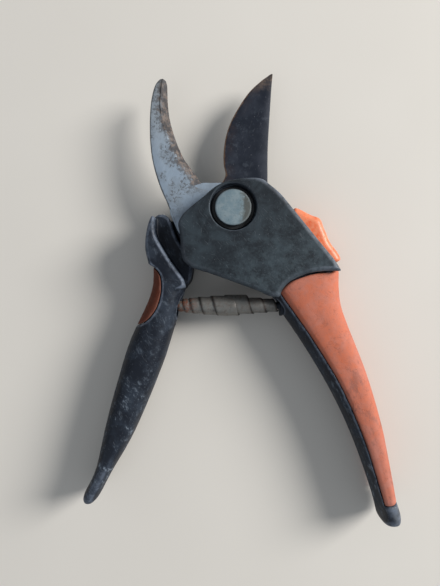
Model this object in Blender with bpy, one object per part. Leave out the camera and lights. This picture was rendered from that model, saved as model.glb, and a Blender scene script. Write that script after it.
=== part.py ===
"""Bypass pruner, lying on its side with the jaws open.

+Z is up and the pivot axis is the Z axis. The jaws point to +Y and the handles to -Y.
The object stands on z = 0, the flat underside of the pivot nut.
Sizes are in millimetres until the last step, which writes metres.

The fixed half holds the hook, the hub cover, the lock and the long soft grip.
The moving half holds the cutting blade and turns about the pivot to close the jaws.
"""

import math

import bmesh
import bpy

MM = 0.001

# Clearances
GAP = 0.3  # between faces that touch on the real tool
RUN = 0.3  # round a shaft that turns

# Stack of the hub, from the underside up
WEB_BASE = 0.5
WEB_T = 7.5
BLADE_T = 3.0
HOOK_T = 3.0
PLATE_T = 3.2
COVER_T = 4.0
EDGE_LAND = 0.5  # flat left on a ground edge

# Pivot
BOLT_R = 4.0
HEAD_R = 7.2
HEAD_T = 1.9
HEAD_WASHER_T = 0.7
SLEEVE_WALL = 1.2
NUT_FLATS = 13.0
NUT_T = 4.2
NUT_FLOOR = 1.2
SPRING_WASHER_T = 0.9
RECESS_R = 9.2  # round opening in the hub cover
RECESS_CHAMFER = 0.7

# Jaws: how far each tip stands in front of the pivot
BLADE_REACH = 57.2
HOOK_REACH = 53.8
JAW_ROOT = 12.0  # the jaws stretch from this line
BLADE_GRIND = 5.0
HOOK_GRIND = 3.2
TANG_R = 11.0
LOBE_R = 15.0
RIVET_R = 2.1
RIVET_HEAD_R = 3.2
RIVET_HEAD_T = 1.1

# Handles: how far each end lies behind the pivot
FIXED_REACH = 128.4
MOVING_REACH = 119.3
HANDLE_AXIS_Z = 10.3
FIXED_H = 19.4
MOVING_H = 19.4
SECTION_POWER = 2.7
GRIP_WALL = 2.0
BARE_W = 3.7  # strip of bare plastic on the inner side
NECK_BASE = 0.6
SWEEP_R = 26.5  # everything inside this radius turns with the moving half
FLANGE_R = 25.6
WEB_R = 14.0
FLANGE_DROP = 1.0  # flange top below the hub plate

# Lock
LOCK_X = 14.4
LOCK_Y = -27.8
LOCK_ANGLE = 7.5
LEVER_R = 31.6
LEVER_RIM = 7.6
LEVER_T = 2.7
LEVER_FROM = 13.0
LEVER_TO = 70.0
THUMB_RISE = 1.3
THUMB_DIP = 1.7
LOCK_PIN_R = 2.0
LOCK_FLOOR = 5.3
DETENT_T = 0.6
DETENT_END = 28.0  # its outer end's distance from the pin, before the grip's wall is taken off
DETENT_AT = 4.0  # its outer end's angle round the pin, before the lift
DETENT_LIFT = 2.5  # degrees up for each millimetre of grip wall

# Volute spring
SPRING_Y = -39.0
SPRING_LEFT = -23.2
SPRING_RIGHT = 19.4
SPRING_R = 4.5
STRIP_T = 0.34
STRIP_W = 9.0
TURN_STEP = 0.42  # radius lost per turn
JOGGLE = 0.8  # radius lost where the second cone starts
LEFT_TURNS = 4.9
RIGHT_TURNS = 2.6
SEAT_T = 1.0
SEAT_R = 4.3
POST_R = 1.6
POST_L = 3.2
SPRING_POCKET_R = 5.3

# Cover screws
SCREW_R = 1.5
SCREW_HEAD_R = 2.8
SCREW_HEAD_T = 1.6
SCREW_BITE = 2.4

ROUND = 32
STATION_STEPS = 2  # handle sections for each pair of edge points
SMALL_ROUND = 20

# Heights that follow from the stack
WEB_TOP = WEB_BASE + WEB_T
BLADE_Z = WEB_TOP + GAP
HOOK_Z = BLADE_Z + BLADE_T + GAP
PLATE_Z = HOOK_Z + HOOK_T + GAP
COVER_Z = PLATE_Z + PLATE_T + GAP
COVER_TOP = COVER_Z + COVER_T
FLANGE_TOP = PLATE_Z - FLANGE_DROP
SLEEVE_R = BOLT_R + RUN + SLEEVE_WALL
BORE_R = SLEEVE_R + RUN
NUT_R = NUT_FLATS / math.sqrt(3)
NUT_POCKET_R = NUT_R + 0.9
WASHER_Z = NUT_T + GAP
NUT_POCKET_TOP = WASHER_Z + SPRING_WASHER_T + GAP
HEAD_Z = COVER_Z + HEAD_WASHER_T + GAP
SPRING_Z = HANDLE_AXIS_Z
LOCK = (LOCK_X, LOCK_Y)
BLADE_RIVETS = ((-17.6, -6.4), (-10.8, -15.2))
HOOK_RIVETS = ((-8.6, -15.6), (3.4, -18.6))
COVER_SCREWS = ((-17.2, -16.8), (-14.4, -5.4), (27.0, -14.5))
PAWL_RIVET = (19.6, -15.0)
PAWL_RIVET_R = 1.3


# ---------------------------------------------------------------- shape tools


def spline(a, b, c, d, t):
    """Catmull-Rom value at a share t of the way from b to c."""
    square = (2 * a - 5 * b + 4 * c - d) * t**2
    return 0.5 * (2 * b + (c - a) * t + square + (3 * b - a - 3 * c + d) * t**3)


def curve(points, steps=3):
    """Smooth open curve through the points, as a Catmull-Rom spline."""
    made = []
    last = len(points) - 1
    for i in range(last):
        near = [points[min(max(i + k, 0), last)] for k in (-1, 0, 1, 2)]
        for s in range(steps):
            made.append(tuple(spline(*values, s / steps) for values in zip(*near)))
    return made + [tuple(points[last])]


def outline_of(*edges, steps=3):
    """Closed outline from edges that meet at corners."""
    return [point for edge in edges for point in curve(edge, steps)[:-1]]


def arc(centre, radius, start, end, count):
    """Points on an arc, with its angles in degrees."""
    angles = [math.radians(start + (end - start) * i / (count - 1)) for i in range(count)]
    return [(centre[0] + radius * math.cos(a), centre[1] + radius * math.sin(a)) for a in angles]


def circle(centre, radius, count=ROUND):
    return arc(centre, radius, 0, 360, count + 1)[:-1]


def signed_area(points):
    return sum(a[0] * b[1] - b[0] * a[1] for a, b in zip(points, points[1:] + points[:1])) / 2


def inset(points, distance):
    """The outline moved inwards along its corner normals."""
    side = 1 if signed_area(points) > 0 else -1
    count = len(points)
    moved = []
    for i in range(count):
        ax, ay = points[i - 1]
        bx, by = points[(i + 1) % count]
        length = math.hypot(bx - ax, by - ay)
        moved.append(
            (
                points[i][0] - side * (by - ay) / length * distance,
                points[i][1] + side * (bx - ax) / length * distance,
            )
        )
    return moved


def stretch(point, reach, nominal):
    """Moves a jaw point so that a tip drawn at the nominal reach lands at the wanted one."""
    x, y = point
    share = (reach - JAW_ROOT) / (nominal - JAW_ROOT)
    return (x, JAW_ROOT + (y - JAW_ROOT) * share if y > JAW_ROOT else y)


# --------------------------------------------------------------- object tools


def material(name, colour, roughness, metallic=0.0):
    made = bpy.data.materials.new(name)
    made.use_nodes = True
    shader = made.node_tree.nodes["Principled BSDF"]
    shader.inputs["Base Color"].default_value = (*colour, 1)
    shader.inputs["Roughness"].default_value = roughness
    shader.inputs["Metallic"].default_value = metallic
    return made


def add(name, mesh, look=None, parent=None):
    thing = bpy.data.objects.new(name, mesh)
    bpy.context.scene.collection.objects.link(thing)
    thing.parent = parent
    if look:
        mesh.materials.append(look)
    return thing


def loft(name, loops, look=None, parent=None):
    """Closed solid through loops of equal length, with both ends capped."""
    bm = bmesh.new()
    rings = [[bm.verts.new([value * MM for value in point]) for point in loop] for loop in loops]
    count = len(rings[0])
    for low, high in zip(rings, rings[1:]):
        for i in range(count):
            j = (i + 1) % count
            bm.faces.new((low[i], low[j], high[j], high[i]))
    bm.faces.new(rings[0])
    bm.faces.new(rings[-1])
    bmesh.ops.recalc_face_normals(bm, faces=bm.faces)
    mesh = bpy.data.meshes.new(name)
    bm.to_mesh(mesh)
    bm.free()
    return add(name, mesh, look, parent)


def stacked(name, outline, levels, look=None, parent=None):
    """Solid from one outline: each level is (height, inset)."""
    loops = []
    for z, depth in levels:
        points = inset(outline, depth) if depth else outline
        loops.append([(x, y, z) for x, y in points])
    return loft(name, loops, look, parent)


def plate(name, outline, low, high, look=None, parent=None, chamfer=0.0):
    """Flat plate, with a chamfer on both rims if one is given."""
    if not chamfer:
        return stacked(name, outline, ((low, 0), (high, 0)), look, parent)
    levels = ((low, chamfer), (low + chamfer, 0), (high - chamfer, 0), (high, chamfer))
    return stacked(name, outline, levels, look, parent)


def turned(name, profile, look=None, parent=None, at=(0, 0), count=ROUND):
    """Spins a closed (radius, height) profile round a vertical axis."""
    bm = bmesh.new()
    verts = [bm.verts.new((radius * MM, 0, z * MM)) for radius, z in profile]
    for a, b in zip(verts, verts[1:] + verts[:1]):
        bm.edges.new((a, b))
    shape = bm.verts[:] + bm.edges[:]
    bmesh.ops.spin(
        bm, geom=shape, axis=(0, 0, 1), cent=(0, 0, 0), angle=2 * math.pi, steps=count, use_merge=True
    )
    bmesh.ops.remove_doubles(bm, verts=bm.verts, dist=1e-7)
    bmesh.ops.dissolve_degenerate(bm, edges=bm.edges, dist=1e-7)
    bmesh.ops.recalc_face_normals(bm, faces=bm.faces)
    mesh = bpy.data.meshes.new(name)
    bm.to_mesh(mesh)
    bm.free()
    mesh.shade_smooth()
    mesh.set_sharp_from_angle(angle=math.radians(35))
    thing = add(name, mesh, look, parent)
    thing.location = (at[0] * MM, at[1] * MM, 0)
    return thing


def disc(name, radius, low, high, **options):
    return turned(name, ((0, low), (radius, low), (radius, high), (0, high)), **options)


def helper(thing):
    """A shape that only cuts or joins others."""
    thing.hide_render = True
    thing.display_type = "WIRE"
    thing.hide_set(True)
    return thing


def combine(target, other, operation):
    step = target.modifiers.new(operation.lower(), "BOOLEAN")
    step.operation = operation
    step.solver = "EXACT"
    step.object = helper(other)


def cut(target, *cutters):
    for cutter in cutters:
        combine(target, cutter, "DIFFERENCE")


def join(target, *others):
    for other in others:
        combine(target, other, "UNION")


def hole(radius, low, high, at=(0, 0), count=SMALL_ROUND):
    return disc("bore", radius, low, high, at=at, count=count)


# ------------------------------------------------------------------ materials

BLACK = material("black_nylon", (0.035, 0.042, 0.05), 0.6)
ORANGE = material("orange_soft_grip", (0.72, 0.17, 0.06), 0.7)
LEVER = material("orange_lever", (0.85, 0.2, 0.05), 0.45)
COATED = material("coated_blade_steel", (0.05, 0.055, 0.065), 0.4, 0.6)
STEEL = material("hook_steel", (0.55, 0.6, 0.66), 0.4, 0.8)
SPRING = material("spring_steel", (0.33, 0.32, 0.28), 0.5, 0.8)
BOLT = material("bolt_steel", (0.5, 0.54, 0.55), 0.45, 0.8)
ZINC = material("zinc_steel", (0.6, 0.6, 0.58), 0.4, 0.9)


# ------------------------------------------------------------------- outlines

# Hub cover, clockwise from its left corner
FRONT_EDGE = ((-21.3, -8.5), (-21.6, -6.1), (-19.6, -2.6), (-15.3, 1.2), (-11.1, 4.5), (-7.9, 7.4),
              (-4.0, 9.6), (0.9, 10.9), (6.5, 11.4), (11.2, 11.1), (13.9, 9.1))
BACK_EDGE = ((13.9, 9.1), (18.3, 5.5), (22.7, 0.2), (28.0, -6.3), (34.1, -13.9), (39.5, -20.4), (42.5, -25.1))
GRIP_EDGE = ((42.5, -25.1), (36.2, -25.1), (28.9, -26.2), (22.5, -29.1), (19.4, -32.2), (18.2, -35.4))
UNDER_EDGE = ((18.2, -35.4), (14.8, -35.2), (9.8, -32.9), (2.4, -30.2), (-5.0, -27.5), (-11.1, -25.4),
              (-16.3, -23.9))
LEFT_EDGE = ((-16.3, -23.9), (-19.3, -21.4), (-20.6, -17.8), (-20.7, -12.9), (-21.3, -8.5))
HUB = outline_of(FRONT_EDGE, BACK_EDGE, GRIP_EDGE, UNDER_EDGE, LEFT_EDGE, steps=2)

# Handles as pairs of edge points, from the hub to the end
FIXED_LEFT = ((12.6, -31.4), (15.8, -35.2), (19.4, -40.3), (23.6, -46.2), (28.2, -53.0), (33.3, -61.0),
              (38.2, -69.2), (42.9, -77.8), (47.2, -86.6), (51.0, -95.4), (54.3, -104.0), (57.2, -112.4),
              (59.5, -119.4), (60.7, -124.2), (61.3, -127.2), (62.2, -128.4))
FIXED_RIGHT = ((41.2, -16.0), (43.6, -24.0), (43.7, -31.0), (44.5, -38.5), (47.0, -46.2), (50.4, -54.8),
               (53.8, -63.6), (56.7, -72.4), (59.3, -81.6), (61.6, -91.0), (63.4, -100.6), (65.1, -109.8),
               (66.6, -118.0), (68.3, -123.0), (68.7, -126.4), (68.0, -128.2))
MOVING_OUTER = ((-32.6, -23.0), (-32.7, -30.0), (-34.6, -36.8), (-38.2, -44.5), (-41.7, -52.0), (-44.3, -59.4),
                (-46.5, -67.0), (-48.7, -74.6), (-50.7, -82.2), (-52.5, -89.8), (-54.0, -97.0),
                (-55.4, -103.6), (-57.6, -109.6), (-60.2, -114.4), (-61.1, -117.4), (-60.0, -119.2))
MOVING_INNER = ((-21.6, -25.4), (-19.6, -31.0), (-21.0, -37.0), (-23.2, -44.8), (-25.6, -52.6), (-28.0, -60.4),
                (-30.8, -67.8), (-34.0, -75.8), (-37.3, -83.6), (-40.8, -91.4), (-44.6, -98.6),
                (-48.2, -104.6), (-51.2, -109.8), (-53.8, -114.8), (-55.4, -117.8), (-57.2, -119.3))
GRIP_STATIONS = 12 * STATION_STEPS + 1  # the soft grip stops here, and the bare tip follows
TIP_GAP = 0.12  # of the way to the next station
END_TAPER = ((0.0, 1.0), (0.6, 1.0), (0.85, 0.9), (0.93, 0.82), (0.97, 0.74), (1.0, 0.5))


def taper(share):
    """Height of the handle at a share of its length, as a part of its full height."""
    for (a, low), (b, high) in zip(END_TAPER, END_TAPER[1:]):
        if share <= b:
            return low + (high - low) * (share - a) / (b - a)
    return END_TAPER[-1][1]


def handle_stations(left, right, reach, nominal, height):
    """(centre, half width, half height, sideways direction) along a handle."""
    root = left[1][1]
    size = (reach + root) / (nominal + root)
    anchor = ((left[1][0] + right[1][0]) / 2, root)
    stations = []
    pairs = list(zip(curve(left, STATION_STEPS), curve(right, STATION_STEPS)))
    for i, (a, b) in enumerate(pairs):
        grown = size if i > STATION_STEPS else 1.0
        middle = ((a[0] + b[0]) / 2, (a[1] + b[1]) / 2)
        centre = tuple(anchor[k] + (middle[k] - anchor[k]) * grown for k in (0, 1))
        width = math.hypot(b[0] - a[0], b[1] - a[1])
        side = ((b[0] - a[0]) / width, (b[1] - a[1]) / width)
        share = i / (len(pairs) - 1)
        stations.append((centre, width / 2, height / 2 * taper(share), side))
    return stations


def oval(half_w, half_h, start, end, count):
    """Superellipse points between two angles in degrees: 0 is the right side, 90 the top."""
    made = []
    for i in range(count):
        angle = math.radians(start + (end - start) * i / (count - 1))
        across, up = math.cos(angle), math.sin(angle)
        power = 2 / SECTION_POWER
        made.append(
            (
                half_w * math.copysign(abs(across) ** power, across),
                half_h * math.copysign(abs(up) ** power, up),
            )
        )
    return made


def split_angle(half_w, across):
    """The angle at which the oval passes a sideways position left of its middle."""
    return math.degrees(math.acos(-((min(-across, half_w * 0.98) / half_w) ** (SECTION_POWER / 2))))


def strip_edge(half_w):
    """Sideways position of the edge between the bare strip and the grip."""
    return min(BARE_W, 0.45 * half_w) - half_w


def placed(station, section):
    """Section points put at their station, as (x, y, z)."""
    centre, _, _, side = station
    return [(centre[0] + side[0] * u, centre[1] + side[1] * u, HANDLE_AXIS_Z + v) for u, v in section]


def wall_at(half_w):
    """Grip wall, thinner where the handle is narrow."""
    return min(GRIP_WALL, 0.28 * half_w)


def between(first, second, share):
    """The station at a share of the way from one to the next."""
    def mix(a, b):
        if isinstance(a, tuple):
            return tuple(mix(*pair) for pair in zip(a, b))
        return a + (b - a) * share

    return mix(first, second)


def full_section(station):
    _, half_w, half_h, _ = station
    return placed(station, oval(half_w, half_h, 0, 348.75, 32))


def frame_section(station):
    """Bare strip on the inner side, and the core that the grip wraps."""
    _, half_w, half_h, _ = station
    across = strip_edge(half_w) - GAP
    outer = split_angle(half_w, across)
    core_w, core_h = half_w - wall_at(half_w) - GAP, half_h - wall_at(half_w) - GAP
    inner = split_angle(core_w, across)
    strip = oval(half_w, half_h, outer, 360 - outer, 12)
    core = oval(core_w, core_h, -inner, inner, 15)
    return placed(station, strip + core)


def grip_section(station):
    """The C that wraps the core and leaves the strip bare."""
    _, half_w, half_h, _ = station
    across = strip_edge(half_w)
    outer = split_angle(half_w, across)
    core_w, core_h = half_w - wall_at(half_w), half_h - wall_at(half_w)
    inner = split_angle(core_w, across)
    return placed(station, oval(half_w, half_h, outer, -outer, 22) + oval(core_w, core_h, -inner, inner, 15))


# ----------------------------------------------------------------- fixed half


def lever_room():
    """Plan of everything that the lever sweeps, with its clearance."""
    low, high = LEVER_FROM - 2.5, LEVER_TO + LOCK_ANGLE + 4
    rim = LEVER_R - LEVER_RIM - 2 * GAP
    return (
        arc(LOCK, 5.8, 130, 325, 9)
        + arc(LOCK, rim, low + 6, low, 2)
        + arc(LOCK, LEVER_R + 8, low, high, 9)
    )


def lever_back():
    """The part of the lever's room that lies outside the hub, where nothing covers it."""
    edge = curve(BACK_EDGE, 2)
    low, high = LEVER_FROM - 2.5, LEVER_TO + LOCK_ANGLE + 4
    beyond = [p for p in edge if low < math.degrees(math.atan2(p[1] - LOCK_Y, p[0] - LOCK_X)) < high]
    return [(x + 0.35, y + 0.3) for x, y in beyond] + arc(LOCK, LEVER_R + 8, low, high, 9)


def make_fixed_frame(stations):
    """Hub plate, neck and handle of the fixed half, in one moulding."""
    start, after = stations[GRIP_STATIONS - 1], stations[GRIP_STATIONS]
    tip = [between(start, after, TIP_GAP)] + stations[GRIP_STATIONS:]
    stub = shrunk([between(start, after, 4 * TIP_GAP)], GAP)
    frame = loft("fixed_frame", [frame_section(s) for s in stations[:GRIP_STATIONS] + stub], BLACK)
    neck = (
        arc((0, 0), SWEEP_R, -6, -70, 12)
        + [(11.9, -32.6), (15.4, -34.6)]
        + inset(HUB, 0.8)[
            2 * (len(FRONT_EDGE) + len(BACK_EDGE) + len(GRIP_EDGE) - 3) : 2 * (len(FRONT_EDGE) - 1 + 3) : -1
        ]
    )
    join(
        frame,
        loft("tip", [full_section(s) for s in tip]),
        stacked("neck", neck, ((NECK_BASE, 0.6), (NECK_BASE + 0.6, 0), (PLATE_Z + 1.0, 0))),
        plate("hub_plate", inset(HUB, 0.5), PLATE_Z, COVER_Z - GAP),
    )
    cut(
        frame,
        plate("cover_seat", inset(HUB, -GAP), COVER_Z - GAP, COVER_TOP + 8),
        plate("lever_pocket", lever_room(), LOCK_FLOOR, PLATE_Z + 0.2),
        plate("open_back", lever_back(), LOCK_FLOOR, COVER_TOP + 8),
        hole(LOCK_PIN_R + RUN, NECK_BASE + 0.6, PLATE_Z + 2.0, at=LOCK),
        hole(BOLT_R + RUN, PLATE_Z - 1, COVER_Z + 1),
        spring_pocket(18.0 - 8.0, SPRING_RIGHT + SEAT_T + 2 * GAP),
        plate("detent_slot", detent_outline(0.35), LOCK_FLOOR + 0.4, LOCK_FLOOR + 7.6),
    )
    for at in HOOK_RIVETS:
        cut(frame, rivet_shape("rivet_bore", HOOK_Z, COVER_Z - GAP, at, grow=RUN))
    for at in COVER_SCREWS:
        cut(frame, screw_shape("screw_bore", PLATE_Z - 0.3, COVER_Z + SCREW_BITE, at, grow=RUN))
    return frame


def spring_pocket(start, end, at_y=SPRING_Y):
    """Round pocket along X for a spring end."""
    low, high = min(start, end), max(start, end)
    loops = []
    for x in (low, high):
        ring = circle((at_y, SPRING_Z), SPRING_POCKET_R, SMALL_ROUND)
        loops.append([(x, y, z) for y, z in ring])
    return loft("spring_pocket", loops)


def rivet_shape(name, low, high, at, grow=0.0, look=None, parent=None):
    """Rivet with a countersunk head at each end, flush with the plates it joins."""
    ends = 0.05 if not grow else -0.4
    head, shank = RIVET_HEAD_R + grow, RIVET_R + grow
    bottom, top = low + ends, high - ends
    profile = (
        (0, bottom), (head, bottom), (head, low + 0.25), (shank, low + RIVET_HEAD_T),
        (shank, high - RIVET_HEAD_T), (head, high - 0.25), (head, top), (0, top),
    )
    return turned(name, profile, look, parent, at=at, count=SMALL_ROUND)


def screw_shape(name, low, high, at, grow=0.0, look=None):
    """Countersunk screw, driven from below."""
    head, shank = SCREW_HEAD_R + grow, SCREW_R + grow
    bottom = low + (0.3 if not grow else -0.3)
    top = high + grow
    neck = low + 0.8 + SCREW_HEAD_T
    profile = ((0, bottom), (head, bottom), (head, low + 0.8), (shank, neck), (shank, top), (0, top))
    return turned(name, profile, look, at=at, count=SMALL_ROUND)


def make_cover():
    """Moulded hub cover with the round opening for the bolt head."""
    levels = (
        (COVER_Z, 0.2), (COVER_Z + 0.3, 0), (COVER_TOP - 1.2, 0),
        (COVER_TOP - 0.45, 0.35), (COVER_TOP - 0.1, 1.0), (COVER_TOP, 1.9),
    )
    cover = stacked("hub_cover", HUB, levels, BLACK)
    opening = turned(
        "opening",
        (
            (0, COVER_Z - 1), (RECESS_R, COVER_Z - 1), (RECESS_R, COVER_TOP - RECESS_CHAMFER),
            (RECESS_R + RECESS_CHAMFER + 1, COVER_TOP + 1), (0, COVER_TOP + 1),
        ),
        count=40,
    )
    cut(cover, opening)
    for at in COVER_SCREWS:
        cut(cover, hole(SCREW_R + 0.1, COVER_Z - 1, COVER_Z + SCREW_BITE + 0.4, at=at))
    return cover


def make_hook():
    """Counter blade: a ground jaw and the tang that is riveted under the hub plate."""
    outer = ((-23.2, -7.0), (-26.3, 1.7), (-29.4, 8.8), (-31.6, 15.5), (-33.0, 21.8), (-33.7, 28.0),
             (-33.9, 34.0), (-33.8, 40.0), (-33.3, 45.6), (-32.3, 50.3), (-31.2, 52.9), (-29.8, 54.4))
    inner = ((-5.0, 9.6), (-12.4, 11.2), (-14.6, 14.0), (-17.3, 17.8), (-20.2, 22.0), (-22.7, 27.6),
             (-24.6, 33.2), (-26.1, 39.2), (-26.8, 45.2), (-27.0, 50.0), (-27.1, 53.0), (-27.6, 54.9))
    loops = []
    top = HOOK_Z + HOOK_T
    for start, end in zip(curve(outer, 2), curve(inner, 2)):
        a, b = stretch(start, HOOK_REACH, 54.9), stretch(end, HOOK_REACH, 54.9)
        width = math.hypot(b[0] - a[0], b[1] - a[1])
        ground = min(HOOK_GRIND, 0.6 * width) / width
        knee = tuple(b[k] + (a[k] - b[k]) * ground for k in (0, 1))
        rim = tuple(a[k] + (b[k] - a[k]) * 0.5 / width for k in (0, 1))
        back = [(*a, HOOK_Z), (*a, top - 0.5), (*rim, top)]
        loops.append(back + [(*knee, top), (*b, HOOK_Z + EDGE_LAND), (*b, HOOK_Z)])
    hook = loft("hook", loops, STEEL)
    tang = outline_of(
        ((-12.4, 11.2), (-5.0, 11.2)),
        ((-5.0, 11.2), (3.0, 11.6), (10.0, 8.4), (12.6, 2.0), (12.2, -5.0), (9.6, -13.0), (8.0, -19.0)),
        ((8.0, -19.0), (4.0, -23.2), (-3.0, -22.6), (-10.0, -20.6), (-16.0, -16.4), (-21.0, -10.6),
         (-23.2, -7.0)),
        ((-23.2, -7.0), (-26.3, 1.7), (-20.0, 8.0), (-12.4, 11.2)),
        steps=2,
    )
    join(hook, plate("tang", tang, HOOK_Z, top))
    cut(hook, hole(BORE_R, HOOK_Z - 1, top + 1, count=ROUND))
    for at in HOOK_RIVETS:
        cut(hook, rivet_shape("rivet_bore", HOOK_Z, COVER_Z - GAP, at, grow=RUN))
    return hook


def make_pivot():
    """Bolt, its washers and nut, and the sleeve that the moving half turns on."""
    head_top = HEAD_Z + HEAD_T
    bolt = (
        (0, NUT_FLOOR + GAP), (BOLT_R, NUT_FLOOR + GAP), (BOLT_R, HEAD_Z), (HEAD_R - 0.2, HEAD_Z),
        (HEAD_R, HEAD_Z + 0.2), (HEAD_R, head_top - 0.5), (HEAD_R - 0.5, head_top), (0, head_top),
    )
    turned("pivot_bolt", bolt, BOLT, count=40)
    inner = BOLT_R + RUN

    def ring(name, radius, low, high):
        turned(name, ((inner, low), (radius, low), (radius, high), (inner, high)), ZINC)

    ring("head_washer", RECESS_R - 0.7, COVER_Z, HEAD_Z - GAP)
    ring("pivot_sleeve", SLEEVE_R, NUT_POCKET_TOP + GAP, PLATE_Z - GAP)
    ring("spring_washer", NUT_R - 0.3, WASHER_Z, WASHER_Z + SPRING_WASHER_T)
    nut = plate("pivot_nut", circle((0, 0), NUT_R, 6), 0, NUT_T, ZINC, chamfer=0.4)
    cut(nut, hole(inner, NUT_FLOOR, NUT_T + 1))


def make_fixed_fasteners():
    for number, at in enumerate(HOOK_RIVETS, 1):
        rivet_shape(f"hook_rivet_{number}", HOOK_Z, COVER_Z - GAP, at, look=ZINC)
    for number, at in enumerate(COVER_SCREWS, 1):
        screw_shape(f"cover_screw_{number}", PLATE_Z, COVER_Z + SCREW_BITE, at, look=ZINC)


def detent_outline(grow=0.0):
    """Leaf beside the lever's lower side, as a thin bent strip. Growing it gives its slot."""
    end, angle = DETENT_END - GRIP_WALL, DETENT_AT + DETENT_LIFT * GRIP_WALL
    places = ((13.0, 4.0), (16.0, 7.0), (20.0, 10.4), (end - 3.0, 5.5 + angle / 2), (end, angle))
    line = curve([arc(LOCK, radius, angle, angle, 2)[0] for radius, angle in places], 2)
    half = DETENT_T / 2 + grow
    first, second = [], []
    for i, (x, y) in enumerate(line):
        ax, ay = line[max(i - 1, 0)]
        bx, by = line[min(i + 1, len(line) - 1)]
        length = math.hypot(bx - ax, by - ay)
        nx, ny = -(by - ay) / length, (bx - ax) / length
        along = grow if i == len(line) - 1 else -grow if i == 0 else 0
        x, y = x + (bx - ax) / length * along, y + (by - ay) / length * along
        first.append((x + nx * half, y + ny * half))
        second.append((x - nx * half, y - ny * half))
    return first + second[::-1]


def make_lock(centre):
    """Thumb lever, the steel pawl under it, and the rivet that joins them. They turn about the lock pin."""
    def about(points):
        return [(x - LOCK[0], y - LOCK[1]) for x, y in points]

    def rim_radius(angle):
        rise = THUMB_RISE * math.exp(-(((angle - 49) / 5) ** 2))
        dip = THUMB_DIP * math.exp(-(((angle - 30) / 10) ** 2))
        return LEVER_R + rise - dip

    plate_z = PLATE_Z - GAP - LEVER_T
    angles = [LEVER_FROM + (LEVER_TO - LEVER_FROM) * i / 24 for i in range(25)]
    outer = [arc((0, 0), rim_radius(angle), angle, angle, 2)[0] for angle in angles]
    inner = arc((0, 0), LEVER_R - LEVER_RIM, LEVER_TO, LEVER_FROM, 10)
    lever = plate("lock_lever", outer + inner, LOCK_FLOOR + GAP, PLATE_Z - GAP, LEVER, centre, chamfer=0.7)
    boss = arc((0, 0), 5.0, 100, 340, 10)
    web = arc((0, 0), LEVER_R - LEVER_RIM + 2, LEVER_FROM + 8, LEVER_TO - 2, 8) + boss
    join(lever, plate("lever_web", web, plate_z, PLATE_Z - GAP, parent=centre))
    pawl_outline = about([(10.2, -28.5), (11.6, -24.0), (18.3, -14.0), (18.6, -3.6), (15.4, -2.9),
                          (15.4, 2.3), (20.6, 3.0), (21.6, -3.0), (22.6, -13.6), (18.8, -26.0),
                          (17.8, -30.8), (14.4, -32.4), (11.4, -31.2)])
    pawl = plate("lock_pawl", pawl_outline, BLADE_Z, plate_z - GAP, ZINC, centre)
    rivet_at = about([PAWL_RIVET])[0]
    for part in (lever, pawl):
        for radius, at in ((LOCK_PIN_R, (0, 0)), (PAWL_RIVET_R, rivet_at)):
            reach = (BLADE_Z - 4, PLATE_Z + 1)
            cut(part, disc("bore", radius + RUN, *reach, parent=centre, at=at, count=SMALL_ROUND))
    low, high = BLADE_Z + 0.1, PLATE_Z - GAP - 0.1
    disc("pawl_rivet", PAWL_RIVET_R, low, high, look=ZINC, parent=centre, at=rivet_at, count=SMALL_ROUND)


def make_seat(name, x, direction, parent=None):
    """Round cap with a tapered post that centres a spring end."""
    loops = []
    for step, radius in ((0, SEAT_R), (SEAT_T, SEAT_R), (SEAT_T, POST_R), (SEAT_T + POST_L, POST_R * 0.7)):
        ring = circle((SPRING_Y, SPRING_Z), radius, SMALL_ROUND)
        loops.append([(x + direction * step, y, z) for y, z in ring])
    return loft(name, loops, BLACK, parent)


def make_volute():
    """Strip wound as two cones that meet in one widest turn, so that each turn slides into the next."""
    turns = LEFT_TURNS + RIGHT_TURNS
    pitch = (SPRING_RIGHT - SPRING_LEFT - STRIP_W) / turns
    per_turn = 20
    count = round(turns * per_turn)
    loops = []
    for i in range(count + 1):
        turn = turns * i / count - LEFT_TURNS
        radius = SPRING_R - STRIP_T / 2 - TURN_STEP * abs(turn)
        if turn > 0:
            eased = min(turn / 0.25, 1.0)
            radius -= JOGGLE * eased * eased * (3 - 2 * eased)
        x = SPRING_LEFT + STRIP_W / 2 + pitch * (turn + LEFT_TURNS)
        angle = 2 * math.pi * turn
        loops.append(
            [
                (x + dx * STRIP_W / 2, SPRING_Y + (radius + dr * STRIP_T / 2) * math.cos(angle),
                 SPRING_Z + (radius + dr * STRIP_T / 2) * math.sin(angle))
                for dx, dr in ((-1, -1), (1, -1), (1, 1), (-1, 1))
            ]
        )
    return loft("volute_spring", loops, SPRING)


# ---------------------------------------------------------------- moving half


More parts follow.
